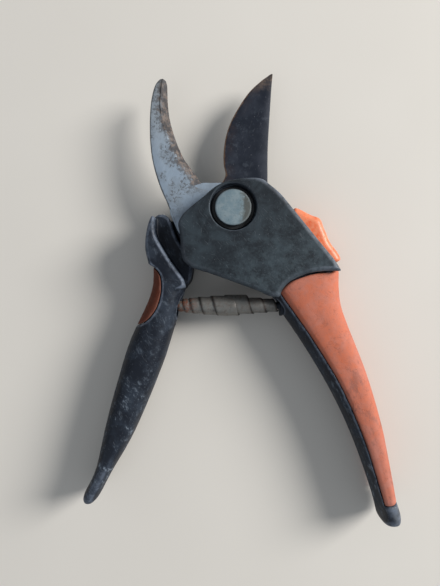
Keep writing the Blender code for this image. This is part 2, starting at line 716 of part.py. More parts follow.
def make_moving_frame(stations, pivot):
    """Web under the blade, raised head round the hub, and the handle, in one moulding."""
    frame = loft("moving_frame", [full_section(s) for s in stations], BLACK, pivot)
    outer = ((-32.4, -27.0), (-33.8, -20.6), (-34.8, -16.0), (-34.6, -11.2), (-33.7, -6.4), (-32.4, -3.2),
             (-30.6, -1.6), (-28.2, -1.5))
    flange = outline_of(
        outer,
        ((-28.2, -1.5), (-26.4, -2.6), (-25.5, -4.6)),
        arc((0, 0), FLANGE_R, 193, 226, 6),
        ((-17.8, -18.4), (-16.6, -22.0), (-16.8, -26.0), (-18.0, -29.6), (-22.0, -33.0)),
        ((-22.0, -33.0), (-32.4, -27.0)),
        steps=2,
    )
    rim = outline_of(
        outer[:6],
        ((-32.4, -3.2), (-31.4, -3.8), (-31.6, -7.6), (-31.0, -11.2), (-29.2, -14.6), (-26.2, -19.6),
         (-22.7, -24.6), (-19.9, -28.6), (-19.3, -31.4)),
        ((-19.3, -31.4), (-26.0, -33.0), (-32.4, -27.0)),
        steps=2,
    )
    half = MOVING_H / 2
    low, high = HANDLE_AXIS_Z - half, HANDLE_AXIS_Z + half
    rim_levels = (
        (low + 0.2, 1.8), (low + 1.4, 0.5), (low + 2.6, 0),
        (high - 1.4, 0), (high - 0.7, 0.3), (high - 0.2, 0.9),
    )
    lobe = (
        [(-27.0, -5.0)]
        + arc((0, 0), FLANGE_R + 2.0, 193, 226, 6)
        + [(-16.6, -21.0), (-6.0, -15.0), (9.0, -8.5), (10.0, 5.0), (-5.0, 11.5), (-15.0, 6.0)]
    )
    join(
        frame,
        plate("head_flange", flange, WEB_BASE, FLANGE_TOP, chamfer=0.6, parent=pivot),
        stacked("head_rim", inset(rim, -0.3), rim_levels, parent=pivot),
        plate("web_lobe", lobe, WEB_BASE, WEB_TOP, parent=pivot),
        disc("web_disc", WEB_R, WEB_BASE, WEB_TOP, parent=pivot),
    )
    cut(
        frame,
        turned(
            "stepped_bore",
            (
                (0, WEB_BASE - 1), (NUT_POCKET_R, WEB_BASE - 1), (NUT_POCKET_R, NUT_POCKET_TOP),
                (BORE_R, NUT_POCKET_TOP), (BORE_R, WEB_TOP + 1), (0, WEB_TOP + 1),
            ),
        ),
        spring_pocket(SPRING_LEFT - SEAT_T - 2 * GAP, -8.0),
    )
    for at in BLADE_RIVETS:
        cut(frame, rivet_shape("rivet_bore", WEB_BASE, BLADE_Z + BLADE_T, at, grow=RUN))
    return frame


def pad_outline(grow=0.0):
    """Plan of the soft pad on the outer side of the moving handle."""
    edge = curve(((-39.0, -21.5), (-33.4, -22.8), (-29.9, -25.4), (-28.7, -29.0), (-28.8, -34.0),
                  (-30.4, -39.6), (-33.4, -43.8), (-37.0, -46.2), (-44.0, -47.6)), 2)
    return inset(edge + [(-50.0, -40.0), (-48.0, -26.0)], -grow)


def shrunk(stations, wall):
    return [(centre, half_w - wall, half_h - wall, side) for centre, half_w, half_h, side in stations]


def make_pad(stations, frame, pivot):
    """Soft pad, let into the moving handle."""
    near = stations[: 6 * STATION_STEPS + 1]
    pad = loft("moving_pad", [full_section(s) for s in near], ORANGE, pivot)
    combine(pad, plate("pad_plan", pad_outline(), -5, 30, parent=pivot), "INTERSECT")
    cut(pad, loft("pad_core", [full_section(s) for s in shrunk(near, GRIP_WALL)], parent=pivot))
    pocket = plate("pad_pocket", pad_outline(GAP), -5, 30, parent=pivot)
    cut(pocket, loft("pocket_core", [full_section(s) for s in shrunk(near, GRIP_WALL + GAP)], parent=pivot))
    cut(frame, pocket)
    return pad


def make_blade(pivot):
    """Cutting blade: a ground jaw, the tang under the hub, and the lobe that the pawl stops."""
    back = ((13.0, 4.5), (14.4, 9.0), (14.6, 14.0), (14.6, 20.0), (14.7, 26.3), (15.0, 32.6),
            (15.4, 38.9), (15.8, 45.2), (16.1, 50.0), (16.4, 54.0), (16.6, 56.0), (16.7, 57.2))
    edge = ((-8.0, 7.6), (-4.6, 11.8), (-2.9, 15.4), (-3.7, 20.0), (-3.6, 25.8), (-2.6, 31.9),
            (-0.4, 38.0), (3.3, 44.6), (7.2, 50.0), (11.6, 54.1), (14.2, 56.0), (16.0, 57.2))
    loops = []
    top = BLADE_Z + BLADE_T
    for start, end in zip(curve(back, 2), curve(edge, 2)):
        a, b = stretch(start, BLADE_REACH, 57.2), stretch(end, BLADE_REACH, 57.2)
        width = math.hypot(b[0] - a[0], b[1] - a[1])
        ground = min(BLADE_GRIND, 0.7 * width) / width
        knee = tuple(b[k] + (a[k] - b[k]) * ground for k in (0, 1))
        loops.append([(*a, BLADE_Z), (*a, top), (*b, top), (*b, top - EDGE_LAND), (*knee, BLADE_Z)])
    blade = loft("cutting_blade", loops, COATED, pivot)
    lobe = [(TANG_R - 1, -1.5), *arc((0, 0), LOBE_R, -20.0, -31.5, 4)]
    lobe += [*arc((0, 0), TANG_R - 1, -31.5, -50, 3), (0, 0)]
    tang = outline_of(
        ((11.0, 3.0), (10.9, -2.0), (9.6, -5.4), (6.4, -9.2), (0.0, -14.6), (-7.0, -21.0), (-12.0, -21.6)),
        arc((0, 0), FLANGE_R - 0.9, 240, 192, 7),
        ((-24.2, -5.1), (-20.0, 0.0), (-12.6, 3.6), (-8.0, 8.2)),
        ((-8.0, 8.2), (0.0, 13.0), (8.0, 12.0), (13.0, 5.5), (11.0, 3.0)),
        steps=2,
    )
    join(blade, plate("tang", tang, BLADE_Z, top, parent=pivot), plate("lobe", lobe, BLADE_Z, top, parent=pivot))
    cut(blade, hole(BORE_R, BLADE_Z - 1, top + 1, count=ROUND))
    for at in BLADE_RIVETS:
        cut(blade, rivet_shape("rivet_bore", WEB_BASE, top, at, grow=RUN))
    return blade


def main():
    for old in list(bpy.data.objects):
        bpy.data.objects.remove(old)

    fixed = handle_stations(FIXED_LEFT, FIXED_RIGHT, FIXED_REACH, 128.4, FIXED_H)
    make_fixed_frame(fixed)
    grip = loft("fixed_grip", [grip_section(s) for s in fixed[:GRIP_STATIONS]], ORANGE)
    cut(
        grip,
        plate("lever_room", lever_room(), -6, COVER_TOP + 9),
        plate("hub_room", inset(HUB, -GAP), -5, COVER_TOP + 8),
    )
    make_cover()
    make_hook()
    make_pivot()
    make_fixed_fasteners()
    disc("lock_pin", LOCK_PIN_R, NECK_BASE + 0.9, PLATE_Z + 1.7, look=ZINC, at=LOCK, count=SMALL_ROUND)
    plate("detent_spring", detent_outline(), LOCK_FLOOR + 1.0, LOCK_FLOOR + 7.0, SPRING)
    make_seat("fixed_spring_seat", SPRING_RIGHT + SEAT_T + GAP, -1)
    make_volute()

    lock_centre = bpy.data.objects.new("lock_centre", None)
    lock_centre.location = (LOCK[0] * MM, LOCK[1] * MM, 0)
    bpy.context.scene.collection.objects.link(lock_centre)
    make_lock(lock_centre)

    pivot = bpy.data.objects.new("pivot", None)
    bpy.context.scene.collection.objects.link(pivot)
    moving = handle_stations(MOVING_OUTER, MOVING_INNER, MOVING_REACH, 119.3, MOVING_H)
    frame = make_moving_frame(moving, pivot)
    make_pad(moving, frame, pivot)
    make_blade(pivot)
    for number, at in enumerate(BLADE_RIVETS, 1):
        rivet_shape(f"blade_rivet_{number}", WEB_BASE, BLADE_Z + BLADE_T, at, look=ZINC, parent=pivot)
    make_seat("moving_spring_seat", SPRING_LEFT - SEAT_T - GAP, 1, pivot)


main()
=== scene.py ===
"""Looks of the bypass pruner: finished surfaces, materials, floor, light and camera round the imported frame.

Shapes are worked out in millimetres in the part's own frame, with the pivot at the origin and +Z up,
and become metres when they are put into a mesh.
"""

import math

import bmesh
import bpy
import numpy as np
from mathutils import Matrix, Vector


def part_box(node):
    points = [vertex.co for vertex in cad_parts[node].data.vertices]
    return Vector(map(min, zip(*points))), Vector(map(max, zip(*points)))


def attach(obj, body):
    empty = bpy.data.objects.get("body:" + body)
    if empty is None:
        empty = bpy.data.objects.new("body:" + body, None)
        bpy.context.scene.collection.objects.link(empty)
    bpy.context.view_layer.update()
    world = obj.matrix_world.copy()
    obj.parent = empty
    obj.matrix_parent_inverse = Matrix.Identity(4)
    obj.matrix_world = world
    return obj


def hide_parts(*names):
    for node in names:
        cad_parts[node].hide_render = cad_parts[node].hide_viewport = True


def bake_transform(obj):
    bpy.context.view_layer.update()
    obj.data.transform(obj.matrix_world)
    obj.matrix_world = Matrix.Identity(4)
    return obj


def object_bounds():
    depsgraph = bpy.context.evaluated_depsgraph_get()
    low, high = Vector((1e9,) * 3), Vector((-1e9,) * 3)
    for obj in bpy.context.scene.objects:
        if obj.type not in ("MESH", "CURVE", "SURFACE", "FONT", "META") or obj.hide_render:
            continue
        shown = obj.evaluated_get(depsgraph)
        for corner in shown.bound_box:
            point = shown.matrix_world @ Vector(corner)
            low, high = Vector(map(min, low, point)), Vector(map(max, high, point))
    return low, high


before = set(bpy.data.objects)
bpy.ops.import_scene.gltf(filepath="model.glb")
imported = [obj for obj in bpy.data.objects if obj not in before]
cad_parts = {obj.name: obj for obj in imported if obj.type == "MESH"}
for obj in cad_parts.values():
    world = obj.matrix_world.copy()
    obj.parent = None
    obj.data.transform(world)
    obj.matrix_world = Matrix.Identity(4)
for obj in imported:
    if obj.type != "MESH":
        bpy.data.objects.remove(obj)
CAD_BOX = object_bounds()
MM = 0.001

# Finished edges
VOXEL = 0.36  # mesh size of the one-piece mouldings
MOULD_ROUNDS = 2  # averaging rounds that ease a moulding's edges
EDGE_DEPTH = 0.22  # an edge stands out this far before its mark is full; finishes paint full marks pale, as wear and as painted highlight
EDGE_ROUNDS = 8  # averaging rounds of the smoother copy that edges are told by
MOULD_EDGE_ROUNDS = 14  # the same on the finer mesh of a moulding
CREASE = 40  # degrees between faces past which an edge is drawn sharp
LIT_FACE_COSINE = 0.965  # normals this close to the lit direction are marked as an edge, so that they get a painted highlight
GAP = 0.3  # between pieces that would touch

# Pivot and hub cover
WELL_R = 9.2
HEAD_R = 7.2
SHANK_R = 4.0
WASHER_R = 8.5
TANG_BORE = 5.8

# Lock lever, round the lock pin
LOCK = np.array((14.4, -27.8))
LEVER_R = 31.6
LEVER_RIM = 7.6
LEVER_SWEEP = (13.0, 70.0)  # degrees
LEVER_PEAK = (49, 1.3, 5)  # where the thumb's peak is in degrees, how far it stands out, how wide it is
LEVER_DIP = (30, 1.7, 10)
LEVER_ROUND = 0.9
THUMB_ROUND = 3.0  # the upper outer corner, where the thumb lies
LEVER_WEB = 2.6
LEVER_BORE = 2.35

# Volute spring
STRIP_W = 9.0
STRIP_T = 0.34
TURN_STEP = 0.42
JOGGLE = 0.8
LEFT_TURNS = 4.9
RIGHT_TURNS = 2.6
SPRING_R = 4.5
SPRING_Y = -39.0
SPRING_Z = 10.3

# Long handle: points of its two edges from the hub to the end, and its height near the end
FIXED_LEFT = ((12.6, -31.4), (15.8, -35.2), (19.4, -40.3), (23.6, -46.2), (28.2, -53.0), (33.3, -61.0),
              (38.2, -69.2), (42.9, -77.8), (47.2, -86.6), (51.0, -95.4), (54.3, -104.0), (57.2, -112.4),
              (59.5, -119.4), (60.7, -124.2), (61.3, -127.2), (62.2, -128.4))
FIXED_RIGHT = ((41.2, -16.0), (43.6, -24.0), (43.7, -31.0), (44.5, -38.5), (47.0, -46.2), (50.4, -54.8),
               (53.8, -63.6), (56.7, -72.4), (59.3, -81.6), (61.6, -91.0), (63.4, -100.6), (65.1, -109.8),
               (66.6, -118.0), (68.3, -123.0), (68.7, -126.4), (68.0, -128.2))
END_TAPER = ((0.0, 1.0), (0.6, 1.0), (0.85, 0.9), (0.93, 0.82), (0.97, 0.74), (1.0, 0.5))
HANDLE_Z = 10.3
HANDLE_H = 19.4
SECTION_POWER = 2.7
BARE_W = 3.7
GRIP_WALL = 2.0
GRIP_END = 0.8  # share of the handle where the soft grip stops
GRIP_LENGTH = 118.0
LIP_REACH = 1.3  # the grip's rounded lip starts this far from an end
LIP_DIP = 0.55

# Jaws: the back and the cutting edge from the root to the tip, and the tangs round the pivot
JAW_ROOT = 12  # from here up, a jaw's points are stretched to reach its CAD tip
JAW_NARROW = 7  # below this width, a section's offsets shrink with the jaw
HOOK_BACK = ((-23.2, -7.0), (-26.3, 1.7), (-29.4, 8.8), (-31.6, 15.5), (-33.0, 21.8), (-33.7, 28.0),
             (-33.9, 34.0), (-33.8, 40.0), (-33.3, 45.6), (-32.3, 50.3), (-31.2, 52.9), (-29.8, 54.4))
HOOK_EDGE = ((-5.0, 9.6), (-12.4, 11.2), (-14.6, 14.0), (-17.3, 17.8), (-20.2, 22.0), (-22.7, 27.6),
             (-24.6, 33.2), (-26.1, 39.2), (-26.8, 45.2), (-27.0, 50.0), (-27.1, 53.0), (-27.6, 54.9))
HOOK_TANG = ((-12.4, 11.2), (-5.0, 11.2), (3.0, 11.6), (10.0, 8.4), (12.6, 2.0), (12.2, -5.0), (9.6, -13.0),
             (8.0, -19.0), (4.0, -23.2), (-3.0, -22.6), (-10.0, -20.6), (-16.0, -16.4), (-21.0, -10.6),
             (-23.4, -6.4), (-25.6, 1.0), (-20.0, 8.0))
BLADE_BACK = ((13.0, 4.5), (14.4, 9.0), (14.6, 14.0), (14.6, 20.0), (14.7, 26.3), (15.0, 32.6), (15.4, 38.9),
              (15.8, 45.2), (16.1, 50.0), (16.4, 54.0), (16.6, 56.0), (16.7, 57.2))
BLADE_EDGE = ((-8.0, 7.6), (-4.6, 11.8), (-2.9, 15.4), (-3.7, 20.0), (-3.6, 25.8), (-2.6, 31.9), (-0.4, 38.0),
              (3.3, 44.6), (7.2, 50.0), (11.6, 54.1), (14.2, 56.0), (16.0, 57.2))
BLADE_TANG = ((11.0, 3.0), (10.9, -2.0), (13.6, -4.9), (12.8, -7.8), (8.6, -5.4), (6.4, -9.2), (0.0, -14.6),
              (-7.0, -21.0), (-12.0, -21.6), (-17.5, -17.4), (-21.4, -12.4), (-23.8, -7.0), (-24.2, -5.1),
              (-20.0, 0.0), (-12.6, 3.6), (-8.0, 8.2), (0.0, 12.4), (8.0, 11.6), (12.6, 5.5))

# Camera, floor and light, in metres
CAMERA_PLACE = (-0.0052, -0.0338, 0.190)
CAMERA_LENS = 26.42
FLOOR_HALF = 3.0
FLOOR_DROP = 0.0002
LIT_MIDDLE = (0.0, -0.035, 0.01)
SKY_COLOUR = (0.86, 0.92, 1.0)
SKY_STRENGTH = 0.32


# ------------------------------ surfaces


class Skin:
    """Points in millimetres, the quads and triangles between them, and named marks, one number a point."""

    def __init__(self, points, quads, triangles, marks):
        self.points = points
        self.quads = quads
        self.triangles = triangles
        self.marks = marks

    def outward(self):
        """Turns the faces to point out, told by the sign of the volume that they enclose."""
        halves = np.vstack([self.quads[:, :3], self.quads[:, [0, 2, 3]], self.triangles])
        a, b, c = (self.points[halves[:, k]] for k in range(3))
        if np.sum(a * np.cross(b, c)) < 0:
            self.quads = self.quads[:, ::-1]
            self.triangles = self.triangles[:, ::-1]
        return self


def together(*skins):
    """Several skins as one, with their point numbers moved along."""
    starts = np.cumsum([0] + [len(s.points) for s in skins[:-1]])
    names = {name for s in skins for name in s.marks}
    return Skin(
        np.vstack([s.points for s in skins]),
        np.vstack([s.quads + n for s, n in zip(skins, starts)]),
        np.vstack([s.triangles + n for s, n in zip(skins, starts)]),
        {name: np.hstack([s.marks.get(name, np.zeros(len(s.points))) for s in skins]) for name in names},
    )


def wrapped(grid, closed_along=False, ends="fan", **marks):
    """Skin over a grid of points, grid[i, j] being step i along and step j around.

    Neighbours are joined by quads and around always closes. An open end is closed by triangles to its
    middle point ("fan"), or by quads between its first half and its second, which run opposite ways ("fold").
    """
    rows, columns = grid.shape[:2]
    i, j = np.meshgrid(np.arange(rows if closed_along else rows - 1), np.arange(columns), indexing="ij")
    up, on = (i + 1) % rows, (j + 1) % columns
    quads = np.stack([i * columns + j, i * columns + on, up * columns + on, up * columns + j], -1)
    quads = quads.reshape(-1, 4)
    points = grid.reshape(-1, 3)
    values = {name: np.broadcast_to(value, (rows, columns)).ravel() for name, value in marks.items()}
    triangles = np.zeros((0, 3), int)
    if closed_along:
        return Skin(points, quads, triangles, values).outward()
    ring = np.arange(columns)
    if ends == "fold":
        half = columns // 2
        near = np.arange(half - 1)
        far = columns - 1 - near
        lid = np.stack([near, far, far - 1, near + 1], -1)
        quads = np.vstack([quads, lid, lid[:, ::-1] + (rows - 1) * columns])
        return Skin(points, quads, triangles, values).outward()
    for first, turn in ((0, -1), ((rows - 1) * columns, 1)):
        middle = np.full(columns, len(points))
        lid = np.stack([ring + first, np.roll(ring, -1) + first, middle], -1)
        triangles = np.vstack([triangles, lid[:, ::turn]])
        points = np.vstack([points, points[ring + first].mean(0)])
        values = {name: np.append(value, value[ring + first].mean()) for name, value in values.items()}
    return Skin(points, quads, triangles, values).outward()


def ease(x):
    """0 below 0, 1 above 1, and a smooth S between."""
    x = np.clip(x, 0, 1)
    return x * x * (3 - 2 * x)


def through(points, share):
    """Catmull-Rom spline: at a share of the way, each coordinate is a cubic of the four nearest points."""
    p = np.asarray(points, float)
    last = len(p) - 1
    at = np.clip(np.asarray(share, float) * last, 0, last - 1e-9)
    i = at.astype(int)
    t = (at - i)[..., None]
    a, b, c, d = (p[np.clip(i + k, 0, last)] for k in (-1, 0, 1, 2))
    return 0.5 * (2 * b + (c - a) * t + (2 * a - 5 * b + 4 * c - d) * t**2 + (3 * b - a - 3 * c + d) * t**3)


def neighbours_eased(loop, rounds):
    """Each point of a closed line averaged with its two neighbours, which count for half."""
    for _ in range(rounds):
        loop = (np.roll(loop, 1, 0) + 2 * loop + np.roll(loop, -1, 0)) / 4
    return loop


def even_loop(corners, count, soften=2):
    """The closed line through the corners, anticlockwise, as points at even distances, then eased."""
    line = np.vstack([corners, corners[:1]])
    if np.sum(line[:-1, 0] * line[1:, 1] - line[1:, 0] * line[:-1, 1]) < 0:
        line = line[::-1]
    passed = np.append(0, np.cumsum(np.hypot(*np.diff(line, axis=0).T)))
    at = np.linspace(0, passed[-1], count, endpoint=False)
    return neighbours_eased(np.stack([np.interp(at, passed, line[:, k]) for k in (0, 1)], -1), soften)


def outline_of(node, height, opening, count):
    """A CAD node's outline at one height above its foot: its corners there, in order of their angle round the
    pivot, leaving out those of the round opening."""
    corners = np.array([v.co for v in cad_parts[node].data.vertices]) / MM
    level = corners[:, 2].min() + height
    flat = np.unique(np.round(corners[np.abs(corners[:, 2] - level) < 0.02, :2], 2), axis=0)
    flat = flat[np.hypot(*flat.T) > opening]
    return even_loop(flat[np.argsort(np.arctan2(flat[:, 1], flat[:, 0]))], count)


def outside(points, loop):
    """Distance of each point to the right of its nearest stretch of a loop that runs anticlockwise."""
    ends = np.roll(loop, -1, 0) - loop
    gap = points[..., None, :] - loop
    along = np.clip(np.sum(gap * ends, -1) / np.sum(ends * ends, -1), 0, 1)
    off = gap - along[..., None] * ends
    length = np.hypot(off[..., 0], off[..., 1])
    best = np.argmin(length, -1)[..., None]
    side = np.sign(ends[:, 1] * gap[..., 0] - ends[:, 0] * gap[..., 1])
    return (np.take_along_axis(length, best, -1) * np.take_along_axis(side, best, -1))[..., 0]


def inset_along(outline, depth, opening):
    """The outline moved inwards by a depth, seen from the pivot.

    On the spoke from the pivot through each outline point, the radius is halved in on until the point there
    lies the depth inside the outline. It never passes a hair outside the opening.
    """
    reach = np.hypot(*outline.T)
    spoke = outline / reach[:, None]
    low, high = np.full(len(reach), opening + 0.1), reach.copy()
    for _ in range(14):
        middle = (low + high) / 2
        deep = -outside(spoke * middle[:, None], outline) > depth
        low, high = np.where(deep, middle, low), np.where(deep, high, middle)
    return neighbours_eased(spoke * low[:, None], 2)


def collar(outline, outer, inner, spokes=10):
    """Closed ring between an outline and a round opening at the origin.

    outer lists (inset, height) up the outside, and inner (radius, height) down the opening. A point across
    the top or the underside is the straight mix of an outline point and the opening's point on its spoke.
    """
    radial = outline / np.hypot(*outline.T)[:, None]
    widest = max(radius for radius, _ in inner)
    rings = []
    for depth, z in outer:
        flat = inset_along(outline, depth, widest) if depth > 0 else outline
        rings.append(np.column_stack([flat, np.full(len(flat), z)]))
    down = [np.column_stack([radial * radius, np.full(len(radial), z)]) for radius, z in inner]
    shares = np.linspace(0, 1, spokes + 2)[1:-1]
    top = [rings[-1] + (down[0] - rings[-1]) * s for s in shares]
    under = [down[-1] + (rings[0] - down[-1]) * s for s in shares]
    return wrapped(np.stack(rings + top + down + under, 1), closed_along=True)


def quarter(start, end, steps=5, hollow=False):
    """Quarter of an ellipse from one (a, b) to another.

    The share of the way is one minus the cosine in a and the sine in b, or the other way round if hollow.
    """
    angle = np.linspace(0, math.pi / 2, steps)
    slow, fast = 1 - np.cos(angle), np.sin(angle)
    first, last = (fast, slow) if hollow else (slow, fast)
    return list(zip(start[0] + (end[0] - start[0]) * first, start[1] + (end[1] - start[1]) * last))


def turned(profile, count=96):
    """Profile of (radius, height) carried round the pivot's axis. One that ends on the axis closes there."""
    radius, height = np.array(profile, float).T[:, :, None]
    angle = np.linspace(0, 2 * math.pi, count, endpoint=False)
    grid = np.stack([radius * np.cos(angle), radius * np.sin(angle), height + 0 * angle], -1)
    return wrapped(grid, closed_along=radius.min() > 0)


def neighbour_mean(points, edges, rounds):
    """Every point moved to the middle of its neighbours, several times."""
    count = np.bincount(edges.ravel(), minlength=len(points))[:, None]
    a, b = edges.T
    for _ in range(rounds):
        ahead = [np.bincount(a, points[b, k], len(points)) for k in range(3)]
        behind = [np.bincount(b, points[a, k], len(points)) for k in range(3)]
        points = np.add(ahead, behind).T / count
    return points


def edges_of(mesh):
    """The two point numbers of every edge of a mesh."""
    edges = np.zeros(len(mesh.edges) * 2, np.int32)
    mesh.edges.foreach_get("vertices", edges)
    return edges.reshape(-1, 2)


def points_of(mesh):
    """The places of a mesh's points, in metres."""
    points = np.zeros(len(mesh.vertices) * 3, np.float32)
    mesh.vertices.foreach_get("co", points)
    return points.reshape(-1, 3).astype(float)


def mark_edges(mesh, rounds, worn=None):
    """Mark "edge": how far a point stands out of a much smoother copy of the skin, 0.5 where it is flat.

    Points whose normal lies close to the worn direction given, which is the lit direction, between two places
    along Y, are marked as an edge too, so that the finish paints a highlight on them.
    """
    points = points_of(mesh) / MM
    normals = np.zeros(len(points) * 3, np.float32)
    mesh.vertex_normals.foreach_get("vector", normals)
    normals = normals.reshape(-1, 3)
    apart = np.sum((points - neighbour_mean(points, edges_of(mesh), rounds)) * normals, 1)
    values = np.clip(0.5 + 0.5 * apart / EDGE_DEPTH, 0, 1).astype(np.float32)
    # the worn direction is the direction of the light: points facing it are marked so that they get a painted
    # highlight
    if worn:
        facing, low, high = worn
        close = ease((normals @ np.array(facing) - LIT_FACE_COSINE) / 0.02)
        inside = ease((points[:, 1] - low) / 14) * ease((high - points[:, 1]) / 1.5)
        values = np.maximum(values, 0.5 + 0.5 * close * inside).astype(np.float32)
    mesh.attributes.new("edge", "FLOAT", "POINT").data.foreach_set("value", values)


# ------------------------------ pieces


def put(mesh, name, look, body, nodes):
    """Puts a finished mesh in the scene: its finish, body and the CAD nodes it stands for."""
    thing = bpy.data.objects.new(name, mesh)
    bpy.context.scene.collection.objects.link(thing)
    mesh.materials.clear()
    mesh.materials.append(look)
    if body:
        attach(thing, body)
    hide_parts(*nodes)
    return thing


def piece(name, skin, look, body, slot, *nodes):
    """A skin as a piece of the scene."""
    mesh = bpy.data.meshes.new(name)
    mesh.from_pydata((skin.points * MM).tolist(), [], skin.quads.tolist() + skin.triangles.tolist())
    for mark, values in skin.marks.items():
        mesh.attributes.new(mark, "FLOAT", "POINT").data.foreach_set("value", values.astype(np.float32))
    mesh.shade_smooth()
    mesh.set_sharp_from_angle(angle=math.radians(CREASE))
    mark_edges(mesh, EDGE_ROUNDS)
    return put(mesh, name, look, body, nodes)


def moulding(name, node, look, body, voxel=VOXEL, worn=None):
    """One skin over a CAD moulding that no single grid gives.

    Its triangles are joined at their corners and wrapped in an even mesh, and every point is moved to its
    neighbours' middle, which turns the joins of handle, neck and hub into fillets and rounds the edges over.
    """
    source = bmesh.new()
    source.from_mesh(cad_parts[node].data)
    bmesh.ops.remove_doubles(source, verts=source.verts, dist=1e-6)
    mesh = bpy.data.meshes.new(name)
    source.to_mesh(mesh)
    source.free()
    helper = bpy.data.objects.new("wrap", mesh)
    bpy.context.scene.collection.objects.link(helper)
    wrap = helper.modifiers.new("wrap", "REMESH")
    wrap.mode = "VOXEL"
    wrap.voxel_size = voxel * MM
    even = bpy.data.meshes.new_from_object(helper.evaluated_get(bpy.context.evaluated_depsgraph_get()))
    bpy.data.objects.remove(helper)
    eased = neighbour_mean(points_of(even), edges_of(even), MOULD_ROUNDS)
    even.vertices.foreach_set("co", eased.astype(np.float32).ravel())
    even.update()
    even.shade_smooth()
    even.name = name
    mark_edges(even, MOULD_EDGE_ROUNDS, worn)
    return put(even, name, look, body, (node,))


def dressed(look, *nodes):
    """Gives CAD nodes that keep their shape a finish."""
    for node in nodes:
        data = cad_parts[node].data
        data.materials.clear()
        data.materials.append(look)


# ------------------------------ shader tools


class Wire:
    """A number that changes over a surface. Sums, differences and products of wires add Math nodes."""

    def __init__(self, look, socket):
        self.look = look
        self.socket = socket

    def math(self, operation, *values):
        return self.look.add("ShaderNodeMath", {"operation": operation}, dict(enumerate(values)))

    def __add__(self, other):
        return self.math("ADD", self, other)

    def __sub__(self, other):
        return self.math("SUBTRACT", self, other)

    def __mul__(self, other):
        return self.math("MULTIPLY", self, other)

    def __rsub__(self, other):
        return self.math("SUBTRACT", other, self)

    __radd__ = __add__
    __rmul__ = __mul__

    def most(self, other):
        return self.math("MAXIMUM", self, other)

    def least(self, other):
        return self.math("MINIMUM", self, other)

    def between(self, low, high):
        """0 at low, 1 at high, and a smooth S between. A low above its high runs the other way."""
        if low > high:
            return 1 - self.between(high, low)
        return self.look.add(
            "ShaderNodeMapRange",
            {"interpolation_type": "SMOOTHSTEP"},
            {"Value": self, "From Min": low, "From Max": high},
        )


class Look:
    """A material and the tools that its finish is written with. Places are in millimetres."""

    def __init__(self, name, **fixed):
        self.material = bpy.data.materials.new(name)
        self.material.use_nodes = True
        self.tree = self.material.node_tree
        self.shader = self.tree.nodes["Principled BSDF"]
        for socket, value in fixed.items():
            self.shader.inputs[socket.replace("_", " ")].default_value = value
        metres = self.add("ShaderNodeTexCoord", {}, {}, "Object")
        self.place = self.add("ShaderNodeVectorMath", {"operation": "SCALE"}, {0: metres, "Scale": 1 / MM})

    def add(self, kind, settings, values, output=0):
        """Any node: its settings are set first, then its sockets are given values or wires."""
        node = self.tree.nodes.new(kind)
        for name, value in settings.items():
            if name == "stops":
                ramp = node.color_ramp
                while len(ramp.elements) < len(value):
                    ramp.elements.new(0.5)
                for element, (position, colour) in zip(ramp.elements, value):
                    element.position = position
                    element.color = (*colour, 1)
            else:
                setattr(node, name, value)
        for name, value in values.items():
            if isinstance(value, Wire):
                self.tree.links.new(value.socket, node.inputs[name])
            else:
                node.inputs[name].default_value = value
        return Wire(self, node.outputs[output])

    def feed(self, socket, wire):
        """Links a wire to a socket of the shader."""
        self.tree.links.new(wire.socket, self.shader.inputs[socket])

    def turned(self, degrees, stretch):
        """Places turned about Z and divided by a stretch, so that a grain runs along one direction."""
        return self.add(
            "ShaderNodeMapping",
            {"vector_type": "TEXTURE"},
            {"Vector": self.place, "Rotation": (0, 0, math.radians(degrees)), "Scale": stretch},
        )

    def cloud(self, size, detail=3, rough=0.5, where=None, drift=0.0):
        """Noise from 0 to 1 with lumps of about this size."""
        values = {"Scale": 1 / size, "Detail": detail, "Roughness": rough, "Distortion": drift}
        return self.add("ShaderNodeTexNoise", {}, {"Vector": where or self.place, **values})

    def across(self, axis):
        """One coordinate of the place, in millimetres."""
        return self.add("ShaderNodeSeparateXYZ", {}, {0: self.place}, axis)

    def mark(self, name):
        """A mark that the piece's points carry."""
        return self.add("ShaderNodeAttribute", {"attribute_name": name}, {}, "Fac")

    def mix(self, share, first, second, way="MIX"):
        """Two colours mixed by a share."""
        values = {0: share, 6: first if isinstance(first, Wire) else (*first, 1)}
        values[7] = second if isinstance(second, Wire) else (*second, 1)
        return self.add("ShaderNodeMix", {"data_type": "RGBA", "blend_type": way}, values, 2)

    def relief(self, height, depth):
        """Bump from a height of 0 to 1, its full depth in millimetres."""
        self.feed("Normal", self.add("ShaderNodeBump", {}, {"Height": height, "Distance": depth * MM}))

    def scratches(self, degrees, length, width, amount):
        """Fine straight lines along one direction: stretched noise, of which only the peaks are kept."""
        grain = self.cloud(width, 2, 0.6, self.turned(degrees, (length, 1, 1)))
        return grain.between(amount, amount + 0.06)


# ------------------------------ finishes


